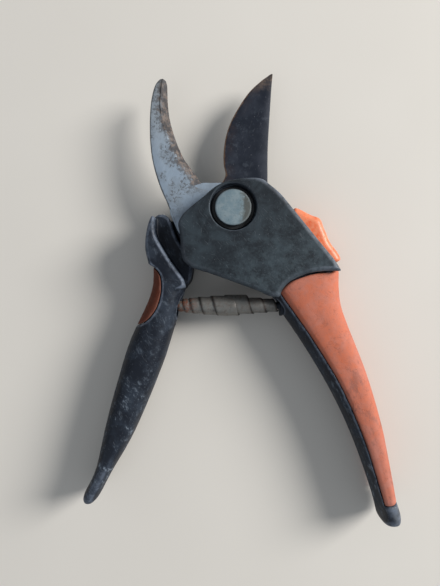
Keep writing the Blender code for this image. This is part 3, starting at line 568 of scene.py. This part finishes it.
def black_nylon():
    """Dark blue-black moulding: fine grain, grey dust in broad patches, pale scuffs, and pale edges that are
    partly wear and partly painted highlight.
    """
    look = Look("black_nylon", Metallic=0.0, Specular_IOR_Level=0.28)
    x, y = look.across("X"), look.across("Y")
    dust = look.cloud(8, 5, 0.66).between(0.40, 0.66)
    colour = look.mix(dust, (0.005, 0.008, 0.015), (0.018, 0.026, 0.040))
    flecks = look.cloud(2.0, 5, 0.78, look.turned(-68, (2.2, 1, 1))).between(0.53, 0.64)
    low_half = y.between(-50, -95)
    scuffs = flecks * look.cloud(8, 3).between(0.42, 0.56) * (0.3 + 0.7 * low_half)
    colour = look.mix(scuffs * 0.8, colour, (0.19, 0.23, 0.28))
    end = (y + (look.cloud(2, 3) - 0.5) * 2).between(-118.6, -119.6) * (x + y * 0.45).between(7.5, 9.5)
    end = end * look.cloud(3, 4, 0.7).between(0.25, 0.6)
    colour = look.mix(end * 0.75, colour, (0.13, 0.145, 0.165))
    chipped = look.cloud(2.2, 5, 0.7).between(0.36, 0.60)
    # pale edges: partly wear, partly a painted highlight where an edge catches the light
    rubbed_and_highlit = look.mark("edge").between(0.66, 0.95) * (0.25 + 0.75 * chipped)
    colour = look.mix(rubbed_and_highlit * 0.7, colour, (0.15, 0.18, 0.235))
    lines = look.scratches(-62, 14, 0.35, 0.64).most(look.scratches(-20, 10, 0.3, 0.67))
    colour = look.mix(lines * 0.4, colour, (0.15, 0.17, 0.20))
    look.feed("Base Color", colour)
    look.feed("Roughness", 0.50 + 0.2 * dust - 0.12 * rubbed_and_highlit)
    grain = look.cloud(0.35, 2, 0.5)
    look.relief(grain * 0.5 + look.cloud(1.3, 3) * 0.35 - lines * 0.4 + scuffs * 0.3, 0.08)
    return look.material


def cover_nylon():
    """Slate-grey moulded cover: handled smooth, dusty, finely scratched, with pale worn edges and a painted
    highlight along the long edge that faces the light.
    """
    look = Look("cover_nylon", Metallic=0.0, Specular_IOR_Level=0.30)
    x, y = look.across("X"), look.across("Y")
    dust = look.cloud(10, 5, 0.66, drift=0.6).between(0.38, 0.68)
    colour = look.mix(dust, (0.008, 0.012, 0.017), (0.024, 0.036, 0.046))
    handled = (x * 0.6 - y).between(8, 34)
    smudge = look.cloud(4.5, 6, 0.8).between(0.40, 0.62) * (0.15 + 0.85 * handled)
    colour = look.mix(smudge * 0.5, colour, (0.060, 0.085, 0.10))
    lines = look.scratches(-48, 12, 0.3, 0.66).most(look.scratches(12, 9, 0.28, 0.67))
    lines = lines.most(look.scratches(82, 8, 0.3, 0.68))
    colour = look.mix(lines * 0.4, colour, (0.12, 0.145, 0.17))
    specks = look.cloud(0.7, 2, 0.5).between(0.70, 0.78)
    colour = look.mix(specks * 0.6, colour, (0.24, 0.27, 0.30))
    # painted highlight: the long edge that faces the light is painted pale, over the wear on all edges
    lit_long_edge = (x * 0.8 + y * 0.6).between(8, 15)
    chipped = look.cloud(2.6, 5, 0.7).between(0.32, 0.58)
    rubbed_and_highlit = look.mark("edge").between(0.60, 0.90) * (0.2 + 0.8 * chipped) * (0.25 + 0.75 * lit_long_edge)
    colour = look.mix(rubbed_and_highlit * 0.8, colour, (0.165, 0.19, 0.235))
    look.feed("Base Color", colour)
    look.feed("Roughness", 0.50 + 0.2 * dust - 0.1 * rubbed_and_highlit)
    look.relief(look.cloud(0.3, 2) * 0.5 + look.cloud(2.2, 3) * 0.4 - lines * 0.5, 0.07)
    return look.material


def soft_orange(name, fresh, faded, worn_from, worn_to):
    """Soft rubbery moulding: matt, faded pink where the hand rubs, dark dirt in creases, fine grain."""
    look = Look(name, Metallic=0.0, Specular_IOR_Level=0.2)
    handled = look.across("Y").between(worn_from, worn_to)
    patches = look.cloud(8, 5, 0.66, drift=0.4)
    fade = (patches.between(0.44, 0.62) * 0.55 + handled * 0.55).least(1.0)
    colour = look.mix(fade, fresh, faded)
    mottle = look.cloud(2.6, 5, 0.75).between(0.42, 0.62)
    colour = look.mix(mottle * 0.35, colour, tuple(c * 0.62 for c in faded))
    worn = look.cloud(5.5, 5, 0.75, look.turned(-65, (1.8, 1, 1))).between(0.52, 0.64)
    grime = worn * (0.35 + 0.65 * look.across("Y").between(-45, -75))
    colour = look.mix(grime * 0.75, colour, tuple(c * 0.42 for c in faded))
    ridge = look.cloud(8, 4, 0.62, drift=1.0) - 0.5
    crack = ridge.math("ABSOLUTE", ridge).between(0.012, 0.003) * look.cloud(6, 2).between(0.52, 0.60)
    colour = look.mix(crack * 0.3, colour, tuple(c * 0.2 for c in faded))
    lines = look.scratches(-58, 9, 0.35, 0.64).most(look.scratches(-100, 7, 0.35, 0.66))
    colour = look.mix(lines * 0.4, colour, tuple(c * 0.35 for c in faded))
    specks = look.cloud(0.8, 2, 0.5).between(0.64, 0.74)
    colour = look.mix(specks * 0.5, colour, tuple(c * 0.25 for c in faded))
    # pale edges: partly wear, partly a painted highlight along the rims
    edge = look.mark("edge").between(0.62, 0.95)
    colour = look.mix(edge * 0.3, colour, tuple(min(1.0, c * 1.4 + 0.03) for c in faded))
    look.feed("Base Color", colour)
    look.feed("Roughness", 0.66 + 0.14 * patches)
    look.relief(look.cloud(0.28, 2) * 0.45 + look.cloud(1.6, 4, 0.6) * 0.5 - crack * 0.6 - lines * 0.3, 0.1)
    return look.material


def orange_lever():
    """Glossy orange nylon: grime in patches, fine scratches, dark specks, and pale corners that are partly
    wear and partly painted highlight.
    """
    look = Look("orange_lever", Metallic=0.0, Specular_IOR_Level=0.4)
    tone = look.cloud(5, 4, 0.6).between(0.35, 0.65)
    colour = look.mix(tone, (0.70, 0.095, 0.022), (0.84, 0.14, 0.035))
    grime = look.cloud(2.5, 5, 0.7).between(0.50, 0.70)
    colour = look.mix(grime * 0.5, colour, (0.30, 0.055, 0.022))
    lines = look.scratches(-55, 8, 0.3, 0.63).most(look.scratches(20, 6, 0.3, 0.66))
    colour = look.mix(lines * 0.5, colour, (0.85, 0.36, 0.20))
    specks = look.cloud(0.5, 2, 0.5).between(0.66, 0.74)
    colour = look.mix(specks * 0.6, colour, (0.16, 0.035, 0.015))
    # pale corners: partly wear, partly a painted highlight along the edges
    edge = look.mark("edge").between(0.58, 0.85) * look.cloud(2, 4, 0.65).between(0.25, 0.6)
    colour = look.mix(edge * 0.55, colour, (0.80, 0.34, 0.19))
    look.feed("Base Color", colour)
    look.feed("Roughness", 0.36 + 0.22 * grime + 0.1 * lines)
    look.relief(look.cloud(0.5, 3) * 0.5 + look.cloud(0.2, 2) * 0.3 - lines * 0.4, 0.05)
    return look.material


def hook_steel():
    """Ground blue-grey steel: dark pits and spots, brown rust and dirt along the ground inner edge, and
    painted shade along the back edge.
    """
    look = Look("hook_steel")
    brushed = look.cloud(0.5, 3, 0.6, look.turned(70, (9, 1, 1)))
    from_edge, along = look.mark("from_edge"), look.mark("along")
    upper = along.between(0.25, 0.85)
    low_tone = look.mix(brushed, (0.27, 0.34, 0.42), (0.38, 0.46, 0.55))
    colour = look.mix(upper, low_tone, look.mix(brushed, (0.30, 0.34, 0.37), (0.44, 0.48, 0.52)))
    broad = look.cloud(6, 4, 0.6).between(0.4, 0.66)
    colour = look.mix(broad * 0.55, colour, (0.22, 0.255, 0.29))
    toward_edge = from_edge.between(10, 1.5)
    small = (look.cloud(1.1, 3, 0.6) + 0.07 * toward_edge).between(0.53, 0.63)
    large = (look.cloud(2.6, 4, 0.7) + 0.08 * toward_edge).between(0.55, 0.66)
    spots = small.most(large) * (look.cloud(6, 2) + 0.15 * toward_edge).between(0.40, 0.58)
    spots = spots * along.between(0.0, 0.12)
    colour = look.mix(spots * 0.8, colour, (0.085, 0.09, 0.10))
    ragged = from_edge + (look.cloud(3.0, 4, 0.7) - 0.5) * 9
    band = ragged.between(4.6, 2.0) * along.between(0.0, 0.10)
    blotch = look.cloud(2.2, 4, 0.72).between(0.44, 0.62)
    rust = look.mix(blotch, (0.030, 0.025, 0.025), (0.16, 0.125, 0.105))
    colour = look.mix(band * 0.92, colour, rust)
    orange = look.cloud(1.3, 3, 0.7).between(0.56, 0.66) * from_edge.between(1.6, 0.4)
    colour = look.mix(orange * 0.55 * band, colour, (0.20, 0.10, 0.055))
    # painted shade: a dark line along the back edge, whose side faces away from the light; the tip is
    # darkened too
    back = (look.mark("from_back") + (look.cloud(2, 3) - 0.5) * 0.8).between(0.75, 0.25)
    tip = (along + (look.cloud(2.4, 3) - 0.5) * 0.24).between(0.80, 0.98)
    colour = look.mix((back * 0.8).most(tip * 0.65), colour, (0.06, 0.065, 0.07))
    look.feed("Base Color", colour)
    # the painted back shade also dulls the metal here, with the rust, spots and tip
    dirt_and_back_shade = (band + spots * 0.7 + tip * 0.5 + back * 0.5).least(1.0)
    look.feed("Metallic", 0.45 - 0.45 * dirt_and_back_shade)
    look.feed("Roughness", 0.46 + 0.12 * brushed + 0.3 * dirt_and_back_shade)
    look.relief(brushed * 0.25 - spots * 0.5 + band * look.cloud(0.5, 3, 0.7) * 0.8, 0.06)
    return look.material


def coated_steel():
    """Dark low-friction coating with worn streaks, a bare brown cutting edge and a rusty tip."""
    look = Look("coated_steel", Specular_IOR_Level=0.35)
    tone = look.cloud(7, 4, 0.6)
    colour = look.mix(tone.between(0.4, 0.65), (0.008, 0.012, 0.022), (0.018, 0.023, 0.036))
    from_edge, along = look.mark("from_edge"), look.mark("along")
    near_edge = from_edge + (look.cloud(1.5, 4, 0.65) - 0.5) * 1.4
    brown = near_edge.between(5.5, 0.8) * look.cloud(4, 3).between(0.35, 0.65)
    colour = look.mix(brown * 0.6, colour, (0.032, 0.021, 0.023))
    pale = look.cloud(2.6, 5, 0.8).between(0.50, 0.66) * look.cloud(9, 2).between(0.42, 0.58)
    colour = look.mix(pale * 0.5, colour, (0.060, 0.072, 0.092))
    lines = look.scratches(72, 12, 0.3, 0.67).most(look.scratches(40, 7, 0.25, 0.70))
    colour = look.mix(lines * 0.3, colour, (0.10, 0.10, 0.12))
    specks = look.cloud(0.8, 2, 0.5).between(0.72, 0.78)
    colour = look.mix(specks * 0.7, colour, (0.25, 0.25, 0.27))
    bare = near_edge.between(0.75, 0.2) * along.between(0.02, 0.1)
    colour = look.mix(bare * 0.75, colour, (0.27, 0.16, 0.10))
    tip = (along + (look.cloud(3.5, 4, 0.65) - 0.5) * 0.20 - from_edge * 0.006).between(0.66, 0.84)
    rust = look.mix(look.cloud(1.5, 4, 0.7).between(0.4, 0.6), (0.038, 0.031, 0.031), (0.12, 0.085, 0.065))
    colour = look.mix(tip * 0.85, colour, rust)
    look.feed("Base Color", colour)
    look.feed("Metallic", 0.2 + 0.4 * bare - 0.2 * tip)
    look.feed("Roughness", 0.40 + 0.16 * tone + 0.25 * tip - 0.08 * lines)
    look.relief(tone * 0.2 - lines * 0.4 + tip * look.cloud(0.5, 3, 0.7) * 0.7, 0.04)
    return look.material


def bolt_steel():
    """Plated bolt head: faint turned rings, fine scratches, and darker towards its right side."""
    look = Look("bolt_steel")
    flat = look.turned(0, (1, 1, 1e6))
    from_middle = look.add("ShaderNodeVectorMath", {"operation": "LENGTH"}, {0: flat}, "Value")
    rings = (from_middle * 9.0).math("SINE", from_middle * 9.0) * 0.5 + 0.5
    colour = look.mix(look.cloud(2.2, 4, 0.6).between(0.35, 0.7), (0.24, 0.33, 0.375), (0.33, 0.41, 0.44))
    dull = look.cloud(0.7, 3, 0.6).between(0.56, 0.68)
    colour = look.mix(dull * 0.5, colour, (0.13, 0.17, 0.19))
    # darker, duller and rougher towards the right side of the head
    darker_right = (look.across("X") + (look.cloud(2.4, 4, 0.65) - 0.5) * 6).between(1.8, 4.8)
    darker_right = darker_right * look.cloud(1.6, 4, 0.7).between(0.25, 0.45)
    colour = look.mix(darker_right * 0.9, colour, (0.055, 0.055, 0.046))
    rim = from_middle.between(6.3, 7.0)
    colour = look.mix(rim * 0.35, colour, (0.22, 0.25, 0.27))
    look.feed("Base Color", colour)
    look.feed("Metallic", 0.7 - 0.45 * darker_right)
    look.feed("Roughness", 0.42 + 0.1 * dull + 0.25 * darker_right)
    look.relief(rings * 0.12 + look.cloud(0.5, 3) * 0.3 - dull * 0.3, 0.05)
    return look.material


def grimy_metal(name, clean, dull, grime, metallic, roughness, rust=0.0):
    """Plain steel with brushed tone, dull grime in patches and, where wanted, brown rust."""
    look = Look(name)
    tone = look.cloud(0.8, 4, 0.6)
    colour = look.mix(tone, clean, dull)
    dirt = look.cloud(2.4, 5, 0.7).between(0.48, 0.66)
    colour = look.mix(dirt * 0.7, colour, grime)
    brown = look.cloud(1.4, 4, 0.7).between(0.60, 0.72) * rust
    colour = look.mix(brown, colour, (0.16, 0.07, 0.035))
    look.feed("Base Color", colour)
    look.feed("Metallic", metallic - metallic * 0.7 * dirt)
    look.feed("Roughness", roughness + 0.2 * dirt)
    look.relief(tone * 0.4 + dirt * 0.3, 0.04)
    return look.material


def volute_steel():
    """Spring strip: beige-grey, grimy, with painted shade along the strip's free rims, where the turns
    overlap, and rusty at its left end.
    """
    look = Look("spring_steel")
    tone = look.cloud(1.2, 4, 0.65)
    colour = look.mix(tone, (0.13, 0.13, 0.12), (0.26, 0.26, 0.245))
    # painted shade: the free rim of each turn is painted nearly black, for the dark gaps between turns
    rim = look.mark("rim").between(0.72, 0.95)
    colour = look.mix(rim * 0.85, colour, (0.012, 0.011, 0.01))
    dirt = look.cloud(1.8, 5, 0.7).between(0.5, 0.66)
    colour = look.mix(dirt * 0.6, colour, (0.07, 0.06, 0.05))
    left = look.across("X").between(-13, -19)
    brown = look.cloud(1.6, 4, 0.7).between(0.42, 0.58) * (0.12 + 0.88 * left)
    colour = look.mix(brown * 0.8, colour, (0.17, 0.055, 0.028))
    look.feed("Base Color", colour)
    look.feed("Metallic", 0.55 - 0.4 * (dirt + brown).least(1.0))
    look.feed("Roughness", 0.46 + 0.24 * dirt)
    look.relief(tone * 0.3 + brown * 0.5 + dirt * 0.3, 0.05)
    return look.material


# ------------------------------ pieces' shapes


def grip_split(half_w, across):
    """Angle at which the handle's oval passes a sideways place left of its middle."""
    return np.arccos(-((np.minimum(-across, half_w * 0.98) / half_w) ** (SECTION_POWER / 2)))


def oval(half_w, half_h, angle):
    """Superellipse: each half size times the cosine or sine to the power of two over the section's power."""
    power = 2 / SECTION_POWER
    across, up = np.cos(angle), np.sin(angle)
    return half_w * np.sign(across) * np.abs(across) ** power, half_h * np.sign(up) * np.abs(up) ** power


def handle_at(share):
    """(middle, half width, half height, sideways direction) of the long handle at a share of its length."""
    left, right = through(FIXED_LEFT, share), through(FIXED_RIGHT, share)
    width = np.hypot(*np.moveaxis(right - left, -1, 0))
    low = np.interp(share, *np.array(END_TAPER).T)
    return (left + right) / 2, width / 2, HANDLE_H / 2 * low, (right - left) / width[..., None]


def grip_skin(hub, rows=150, half=44):
    """C-shaped sleeve round the handle's core.

    Around: the outer oval from the bare strip's upper edge over the right side to its lower edge, then the
    inner oval back. Along: every line around starts where it leaves the hub's outline and the lever's room,
    and the outer face dips by a rounded lip near its ends and edges.
    """
    turn = np.linspace(1, -1, half)
    trial = np.linspace(0.0, 0.45, 160)[:, None] + np.zeros(half)
    line = grip_point(trial, turn, 0.0)[..., :2]
    clear = np.minimum(outside(line, hub) - GAP, lever_clearance(line))
    blocked = clear < 0
    first = trial[np.clip(len(trial) - np.argmax(blocked[::-1], 0), 0, len(trial) - 1), 0]
    first = np.convolve(np.pad(first, 2, "edge"), np.ones(5) / 5, "valid")
    share = first + (GRIP_END - first) * np.linspace(0, 1, rows)[:, None] ** 1.1
    ends = np.minimum((share - first) * GRIP_LENGTH, (GRIP_END - share) * GRIP_LENGTH)
    lip = np.clip(np.minimum(ends, (1 - np.abs(turn)) * 24) / LIP_REACH, 0, 1)
    outer = grip_point(share, turn, LIP_DIP * (1 - np.sqrt(1 - (1 - lip) ** 2)))
    inner = grip_point(share, turn, None)[:, ::-1]
    return wrapped(np.concatenate([outer, inner], 1), ends="fold")


def grip_point(share, turn, inset):
    """Point of the grip's outer face, let in by an inset, or of its inner face where the inset is None."""
    middle, half_w, half_h, side = handle_at(share)
    across = np.minimum(BARE_W, 0.45 * half_w) - half_w
    wall = np.minimum(GRIP_WALL, 0.28 * half_w) if inset is None else inset
    u, v = oval(half_w - wall, half_h - wall, grip_split(half_w - wall, across) * turn)
    flat = middle + side * u[..., None]
    return np.concatenate([flat, (HANDLE_Z + v)[..., None]], -1)


def lever_clearance(points):
    """How far a point lies below the straight lower side of the room that the lever sweeps."""
    low = math.radians(LEVER_SWEEP[0] - 2.5)
    gap = points - LOCK
    return gap[..., 0] * math.sin(low) - gap[..., 1] * math.cos(low) - 0.2


def jaw_skin(back, edge, reach, section, rows=110):
    """A flat jaw carried from root to tip.

    Each section is a list of (share, offset, height): a point lies at the share of the way from the back to
    the edge, plus the offset in millimetres, which shrinks with the width near the tip. Marks: the distance
    from the edge, and the share of the length.
    """
    share = np.linspace(0, 1, rows)
    a, b = through(back, share), through(edge, share)
    tip = max(back[-1][1], edge[-1][1])
    for side in (a, b):
        beyond = side[:, 1] > JAW_ROOT
        side[beyond, 1] = JAW_ROOT + (side[beyond, 1] - JAW_ROOT) * (reach - JAW_ROOT) / (tip - JAW_ROOT)
    width = np.hypot(*(b - a).T)
    part, offset, height = np.array(section, float).T
    shrink = np.minimum(1, width / JAW_NARROW)[:, None]
    across = part * width[:, None] + offset * shrink
    flat = a[:, None] + ((b - a) / width[:, None])[:, None] * across[..., None]
    grid = np.concatenate([flat, np.broadcast_to(height, across.shape)[..., None]], -1)
    return wrapped(grid, from_edge=width[:, None] - across, from_back=across, along=share[:, None])


def tang_skin(corners, low, high):
    """Flat tang with a bore, its rims broken by a small round, a hair thinner than its jaw."""
    loop = even_loop(through(np.vstack([corners, corners[:1]]), np.linspace(0, 1, 200)[:-1]), 180, 1)
    low, high = low + 0.02, high - 0.02
    outer = [(0.2, low), (0, low + 0.2)] + quarter((0, high - 0.25), (0.25, high), 4)
    bore, wide = TANG_BORE, TANG_BORE + 0.15
    skin = collar(loop, outer, [(wide, high), (bore, high - 0.15), (bore, low + 0.15), (wide, low)])
    far, none = np.full(len(skin.points), 20.0), np.zeros(len(skin.points))
    skin.marks = {"from_edge": far, "from_back": far, "along": none}
    return skin


def lever_skin():
    """Thumb rim of the lock lever: a rounded rectangle carried round the lock pin.

    Its outer radius is the lever's, plus a narrow bell curve at the peak, minus a wide one at the dip.
    """
    low, high = (c.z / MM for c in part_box("lock_lever"))
    degrees = np.linspace(*LEVER_SWEEP, 120)
    peak, dip = (rise * np.exp(-(((degrees - at) / wide) ** 2)) for at, rise, wide in (LEVER_PEAK, LEVER_DIP))
    rim = LEVER_R + peak - dip
    ends = np.sqrt(np.clip(1 - (np.abs(np.linspace(-1, 1, 120)) ** 40), 0.25, 1))
    steps = 8
    corner = np.repeat([THUMB_ROUND, LEVER_ROUND, LEVER_ROUND, LEVER_ROUND], steps)
    bend = np.linspace(0, math.pi / 2, steps)
    quarters = np.concatenate([bend, bend + math.pi / 2, bend + math.pi, bend + 1.5 * math.pi])
    outer = np.repeat([True, False, False, True], steps)
    upper = np.repeat([True, True, False, False], steps)
    inner_r = LEVER_R - LEVER_RIM
    middle, half = (rim + inner_r)[:, None] / 2, (rim - inner_r)[:, None] / 2 * ends[:, None]
    radius = middle + np.where(outer, 1, -1) * (half - corner) + corner * np.cos(quarters)
    height = (high - low) / 2 * ends[:, None]
    z = (high + low) / 2 + np.where(upper, 1, -1) * (height - corner) + corner * np.sin(quarters)
    angle = np.radians(degrees)[:, None]
    grid = np.stack([LOCK[0] + radius * np.cos(angle), LOCK[1] + radius * np.sin(angle), z], -1)
    return wrapped(grid)


def lever_web_skin():
    """Flat web from the lock pin to the thumb rim, under the hub plate: two arcs round the pin, joined."""
    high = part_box("lock_lever")[1].z / MM - 0.05
    low = high - LEVER_WEB
    wide = np.radians(np.linspace(LEVER_SWEEP[0] + 8, LEVER_SWEEP[1] - 2, 30))
    boss = np.radians(np.linspace(100, 340, 30))
    far = (LEVER_R - LEVER_RIM + 2) * np.array([np.cos(wide), np.sin(wide)]).T
    near = 5 * np.array([np.cos(boss), np.sin(boss)]).T
    outer = [(0.2, low), (0, low + 0.2), (0, high - 0.2), (0.2, high)]
    loop = even_loop(np.vstack([far, near]), 160, 1)
    skin = collar(loop, outer, [(LEVER_BORE, high), (LEVER_BORE, low)])
    skin.points[:, :2] += LOCK
    return skin


def volute_skin(per_turn=56):
    """Flat strip wound as two cones that meet in the widest turn.

    Round: the turn number times a full circle. The radius falls by one step for each turn away from the
    widest, with a joggle where the right cone starts, and the strip's middle moves along X by a pitch that is
    widest in the middle. The section is the strip's rounded rectangle.
    """
    low, high = (c.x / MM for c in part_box("volute_spring"))
    turn = np.linspace(-LEFT_TURNS, RIGHT_TURNS, round((LEFT_TURNS + RIGHT_TURNS) * per_turn))
    pitch = 0.55 + np.exp(-((turn / 2.6) ** 2))
    moved = np.cumsum(pitch) - pitch[0]
    x = low + STRIP_W / 2 + (high - low - STRIP_W) * moved / moved[-1]
    radius = SPRING_R - STRIP_T / 2 - TURN_STEP * np.abs(turn) - JOGGLE * ease(turn / 0.25)
    wide = np.array([-1, -0.94, -0.6, 0, 0.6, 0.94, 1, 1, 0.94, 0.6, 0, -0.6, -0.94, -1]) * STRIP_W / 2
    thick = np.array([0.4, 1, 1, 1, 1, 1, 0.4, -0.4, -1, -1, -1, -1, -1, -0.4]) * STRIP_T / 2
    angle = 2 * math.pi * turn[:, None]
    r = radius[:, None] + thick
    across = x[:, None] + wide + 0 * r
    grid = np.stack([across, SPRING_Y + r * np.cos(angle), SPRING_Z + r * np.sin(angle)], -1)
    free_side = np.where(turn[:, None] < 0, -wide, wide) / (STRIP_W / 2)
    return wrapped(grid, rim=free_side)


# ------------------------------ build


def make_cover(look):
    """Hub cover: moulded rim, flat top and a rounded lip down to the bolt's well."""
    low, high = (c.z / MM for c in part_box("hub_cover"))
    loop = outline_of("hub_cover", height=0.3, opening=WELL_R + 0.7, count=420)
    outer = [(0.25, low), (0.06, low + 0.1), (0, low + 0.35), (0, low + 1.4), (0, high - 1.3)]
    outer += quarter((0, high - 1.2), (1.9, high), 9)
    lip = [(WELL_R + 0.6, high)] + quarter((WELL_R + 0.45, high), (WELL_R, high - 0.5), 6, hollow=True)
    skin = collar(loop, outer, lip + [(WELL_R, low + 0.2), (WELL_R + 0.1, low)], spokes=14)
    piece("hub_cover_shell", skin, look, "right_side", "cover_nylon", "hub_cover")
    return loop


def make_jaws(hook_look, blade_look):
    """Hook, sloped along its inner edge, and blade, with a narrow slope above and a wide one below."""
    low, high = (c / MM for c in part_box("hook"))
    z, t = low.z, high.z
    back = [(0, 0, z), (0, 0, z + 0.6), (0, 0, t - 0.5), (0, 0.06, t - 0.25), (0, 0.22, t - 0.08)]
    top = [(0, 0.5, t), (0.25, 0.3, t), (0.5, 0, t), (0.8, -1.6, t), (1, -3.3, t)]
    slope = [(1, -3.0, t - 0.06), (1, -2.2, t - 0.55), (1, -1.1, t - 1.45), (1, -0.3, z + 0.75)]
    foot = [(1, 0, z + 0.5), (1, 0, z), (0.66, 0, z), (0.33, 0, z)]
    jaw = jaw_skin(HOOK_BACK, HOOK_EDGE, high.y, back + top + slope + foot)
    hook = together(jaw, tang_skin(HOOK_TANG, z, t))
    piece("hook_jaw", hook, hook_look, "right_side", "hook_steel", "hook")

    low, high = (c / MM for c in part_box("cutting_blade"))
    z, t = low.z, high.z
    back = [(0, 0, z), (0, 0, t - 0.3), (0, 0.08, t - 0.1)]
    top = [(0, 0.3, t), (0.25, 0, t), (0.5, 0, t), (0.8, 0, t), (1, -1.0, t)]
    slope = [(1, -0.35, t - 0.02), (1, -0.06, t - 0.2)]
    foot = [(1, 0, t - 0.5), (1, -1.0, t - 0.95), (1, -3.0, z + 0.85), (1, -5.0, z), (0.4, 0, z)]
    jaw = jaw_skin(BLADE_BACK, BLADE_EDGE, high.y, back + top + slope + foot)
    blade = together(jaw, tang_skin(BLADE_TANG, z, t))
    piece("blade_jaw", blade, blade_look, "left_side", "coated_steel", "cutting_blade")


def make_pivot(bolt_look, ring_look):
    """Bolt, whose head is domed a hair and rounded at its rim, and the dark ring under it in the well."""
    low, high = (c.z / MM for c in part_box("pivot_bolt"))
    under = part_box("head_washer")[1].z / MM + GAP
    profile = [(0, low), (SHANK_R - 0.3, low), (SHANK_R, low + 0.3), (SHANK_R, under)]
    profile += [(HEAD_R - 0.3, under), (HEAD_R, under + 0.3), (HEAD_R, high - 0.6)]
    profile += quarter((HEAD_R, high - 0.55), (HEAD_R - 0.6, high - 0.08), 6)
    profile += [(5.4, high - 0.03), (4.0, high), (2.0, high), (0.9, high - 0.02), (0, high - 0.05)]
    piece("bolt", turned(profile), bolt_look, "right_side", "bolt_steel", "pivot_bolt")
    low, high = (c.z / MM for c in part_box("head_washer"))
    outer = [(WASHER_R - 0.1, low), (WASHER_R, low + 0.1), (WASHER_R, high - 0.15), (WASHER_R - 0.15, high)]
    bore = SHANK_R + GAP
    ring = turned([(bore, low)] + outer + [(bore + 0.1, high), (bore, high - 0.1)])
    piece("well_ring", ring, ring_look, "right_side", "dark_washer", "head_washer")


def make_spring(look):
    """Spring between the handles, attached to neither side, with its place baked into its mesh."""
    spring = piece("spring_strip", volute_skin(), look, None, "spring_steel", "volute_spring")
    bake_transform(spring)


def build():
    """Every finish and every piece."""
    black = black_nylon()
    cover = cover_nylon()
    orange = soft_orange("orange_grip", (0.47, 0.105, 0.038), (0.44, 0.165, 0.12), -58, -120)
    # painted shade: the pad's colours are darkened to stand for the shade it lies in
    red = soft_orange("red_pad", (0.11, 0.026, 0.013), (0.12, 0.044, 0.028), -50, -90)
    zinc = grimy_metal(
        "zinc_steel", (0.42, 0.42, 0.40), (0.28, 0.28, 0.27), (0.10, 0.085, 0.07), 0.8, 0.42, rust=0.5
    )
    pawl = grimy_metal(
        "pawl_steel", (0.30, 0.31, 0.32), (0.20, 0.21, 0.22), (0.07, 0.06, 0.05), 0.8, 0.45, rust=0.3
    )
    dark = grimy_metal(
        "dark_washer", (0.006, 0.007, 0.009), (0.012, 0.013, 0.015), (0.02, 0.018, 0.016), 0.0, 0.5
    )
    lever = orange_lever()
    steel = volute_steel()

    loop = make_cover(cover)
    make_jaws(hook_steel(), coated_steel())
    make_pivot(bolt_steel(), dark)
    make_spring(steel)
    piece("grip_sleeve", grip_skin(loop), orange, "right_side", "orange_grip", "fixed_grip")
    thumb = together(lever_skin(), lever_web_skin())
    piece("lever_thumb", thumb, lever, "lock_lever", "orange_lever", "lock_lever")
    moulding("long_handle", "fixed_frame", black, "right_side", voxel=0.4)
    # painted highlight: the short handle's inner top edge, facing the window light, is marked as an edge and
    # painted pale
    lit_inner_edge = ((0.66, 0.12, 0.742), -66, -29)
    moulding("short_handle", "moving_frame", black, "left_side", worn=lit_inner_edge)
    moulding("thumb_pad", "moving_pad", red, "left_side", voxel=0.3)

    dressed(zinc, "pivot_nut", "spring_washer", "pivot_sleeve", "lock_pin", "pawl_rivet")
    dressed(zinc, "hook_rivet_1", "hook_rivet_2", "blade_rivet_1", "blade_rivet_2")
    dressed(zinc, "cover_screw_1", "cover_screw_2", "cover_screw_3")
    dressed(pawl, "lock_pawl")
    dressed(steel, "detent_spring")
    dressed(black, "fixed_spring_seat", "moving_spring_seat")


# ------------------------------ camera, floor, light


def make_camera():
    """Straight above the handles, looking down."""
    data = bpy.data.cameras.new("camera")
    data.lens = CAMERA_LENS
    data.clip_start = 0.01
    camera = bpy.data.objects.new("camera", data)
    camera.location = CAMERA_PLACE
    bpy.context.scene.collection.objects.link(camera)
    bpy.context.scene.camera = camera


def make_floor():
    """Plain pale floor just under the tool."""
    mesh = bpy.data.meshes.new("floor")
    half, z = FLOOR_HALF, CAD_BOX[0].z - FLOOR_DROP
    corners = [(-half, -half, z), (half, -half, z), (half, half, z), (-half, half, z)]
    mesh.from_pydata(corners, [], [(0, 1, 2, 3)])
    look = Look("pale_floor", Metallic=0.0, Roughness=0.75, Specular_IOR_Level=0.2)
    tone = look.cloud(60, 2)
    look.feed("Base Color", look.mix(tone, (0.66, 0.63, 0.58), (0.70, 0.67, 0.62)))
    mesh.materials.append(look.material)
    floor = bpy.data.objects.new("floor", mesh)
    bpy.context.scene.collection.objects.link(floor)


def soft_light(name, place, size, power, colour):
    """Round area light at a place, aimed at the middle of the tool."""
    data = bpy.data.lights.new(name, "AREA")
    data.shape = "DISK"
    data.size = size
    data.energy = power
    data.color = colour
    light = bpy.data.objects.new(name, data)
    bpy.context.scene.collection.objects.link(light)
    light.location = place
    x, y, z = np.array(place) - np.array(LIT_MIDDLE)
    light.rotation_euler = (math.atan2(math.hypot(x, y), z), 0, math.atan2(y, x) + math.pi / 2)


def make_light():
    """Pale blue-white sky, a bright window light from the right and a weak fill from the left."""
    bpy.context.scene.view_settings.view_transform = "Standard"
    world = bpy.data.worlds.new("studio")
    bpy.context.scene.world = world
    world.use_nodes = True
    background = world.node_tree.nodes["Background"]
    background.inputs["Color"].default_value = (*SKY_COLOUR, 1)
    background.inputs["Strength"].default_value = SKY_STRENGTH
    soft_light("window", (1.5, 0.55, 0.90), size=0.85, power=48.0, colour=(1.0, 0.98, 0.95))
    soft_light("fill", (-0.7, -1.0, 1.4), size=1.4, power=2.8, colour=(0.9, 0.95, 1.0))


make_camera()
build()
make_floor()
make_light()
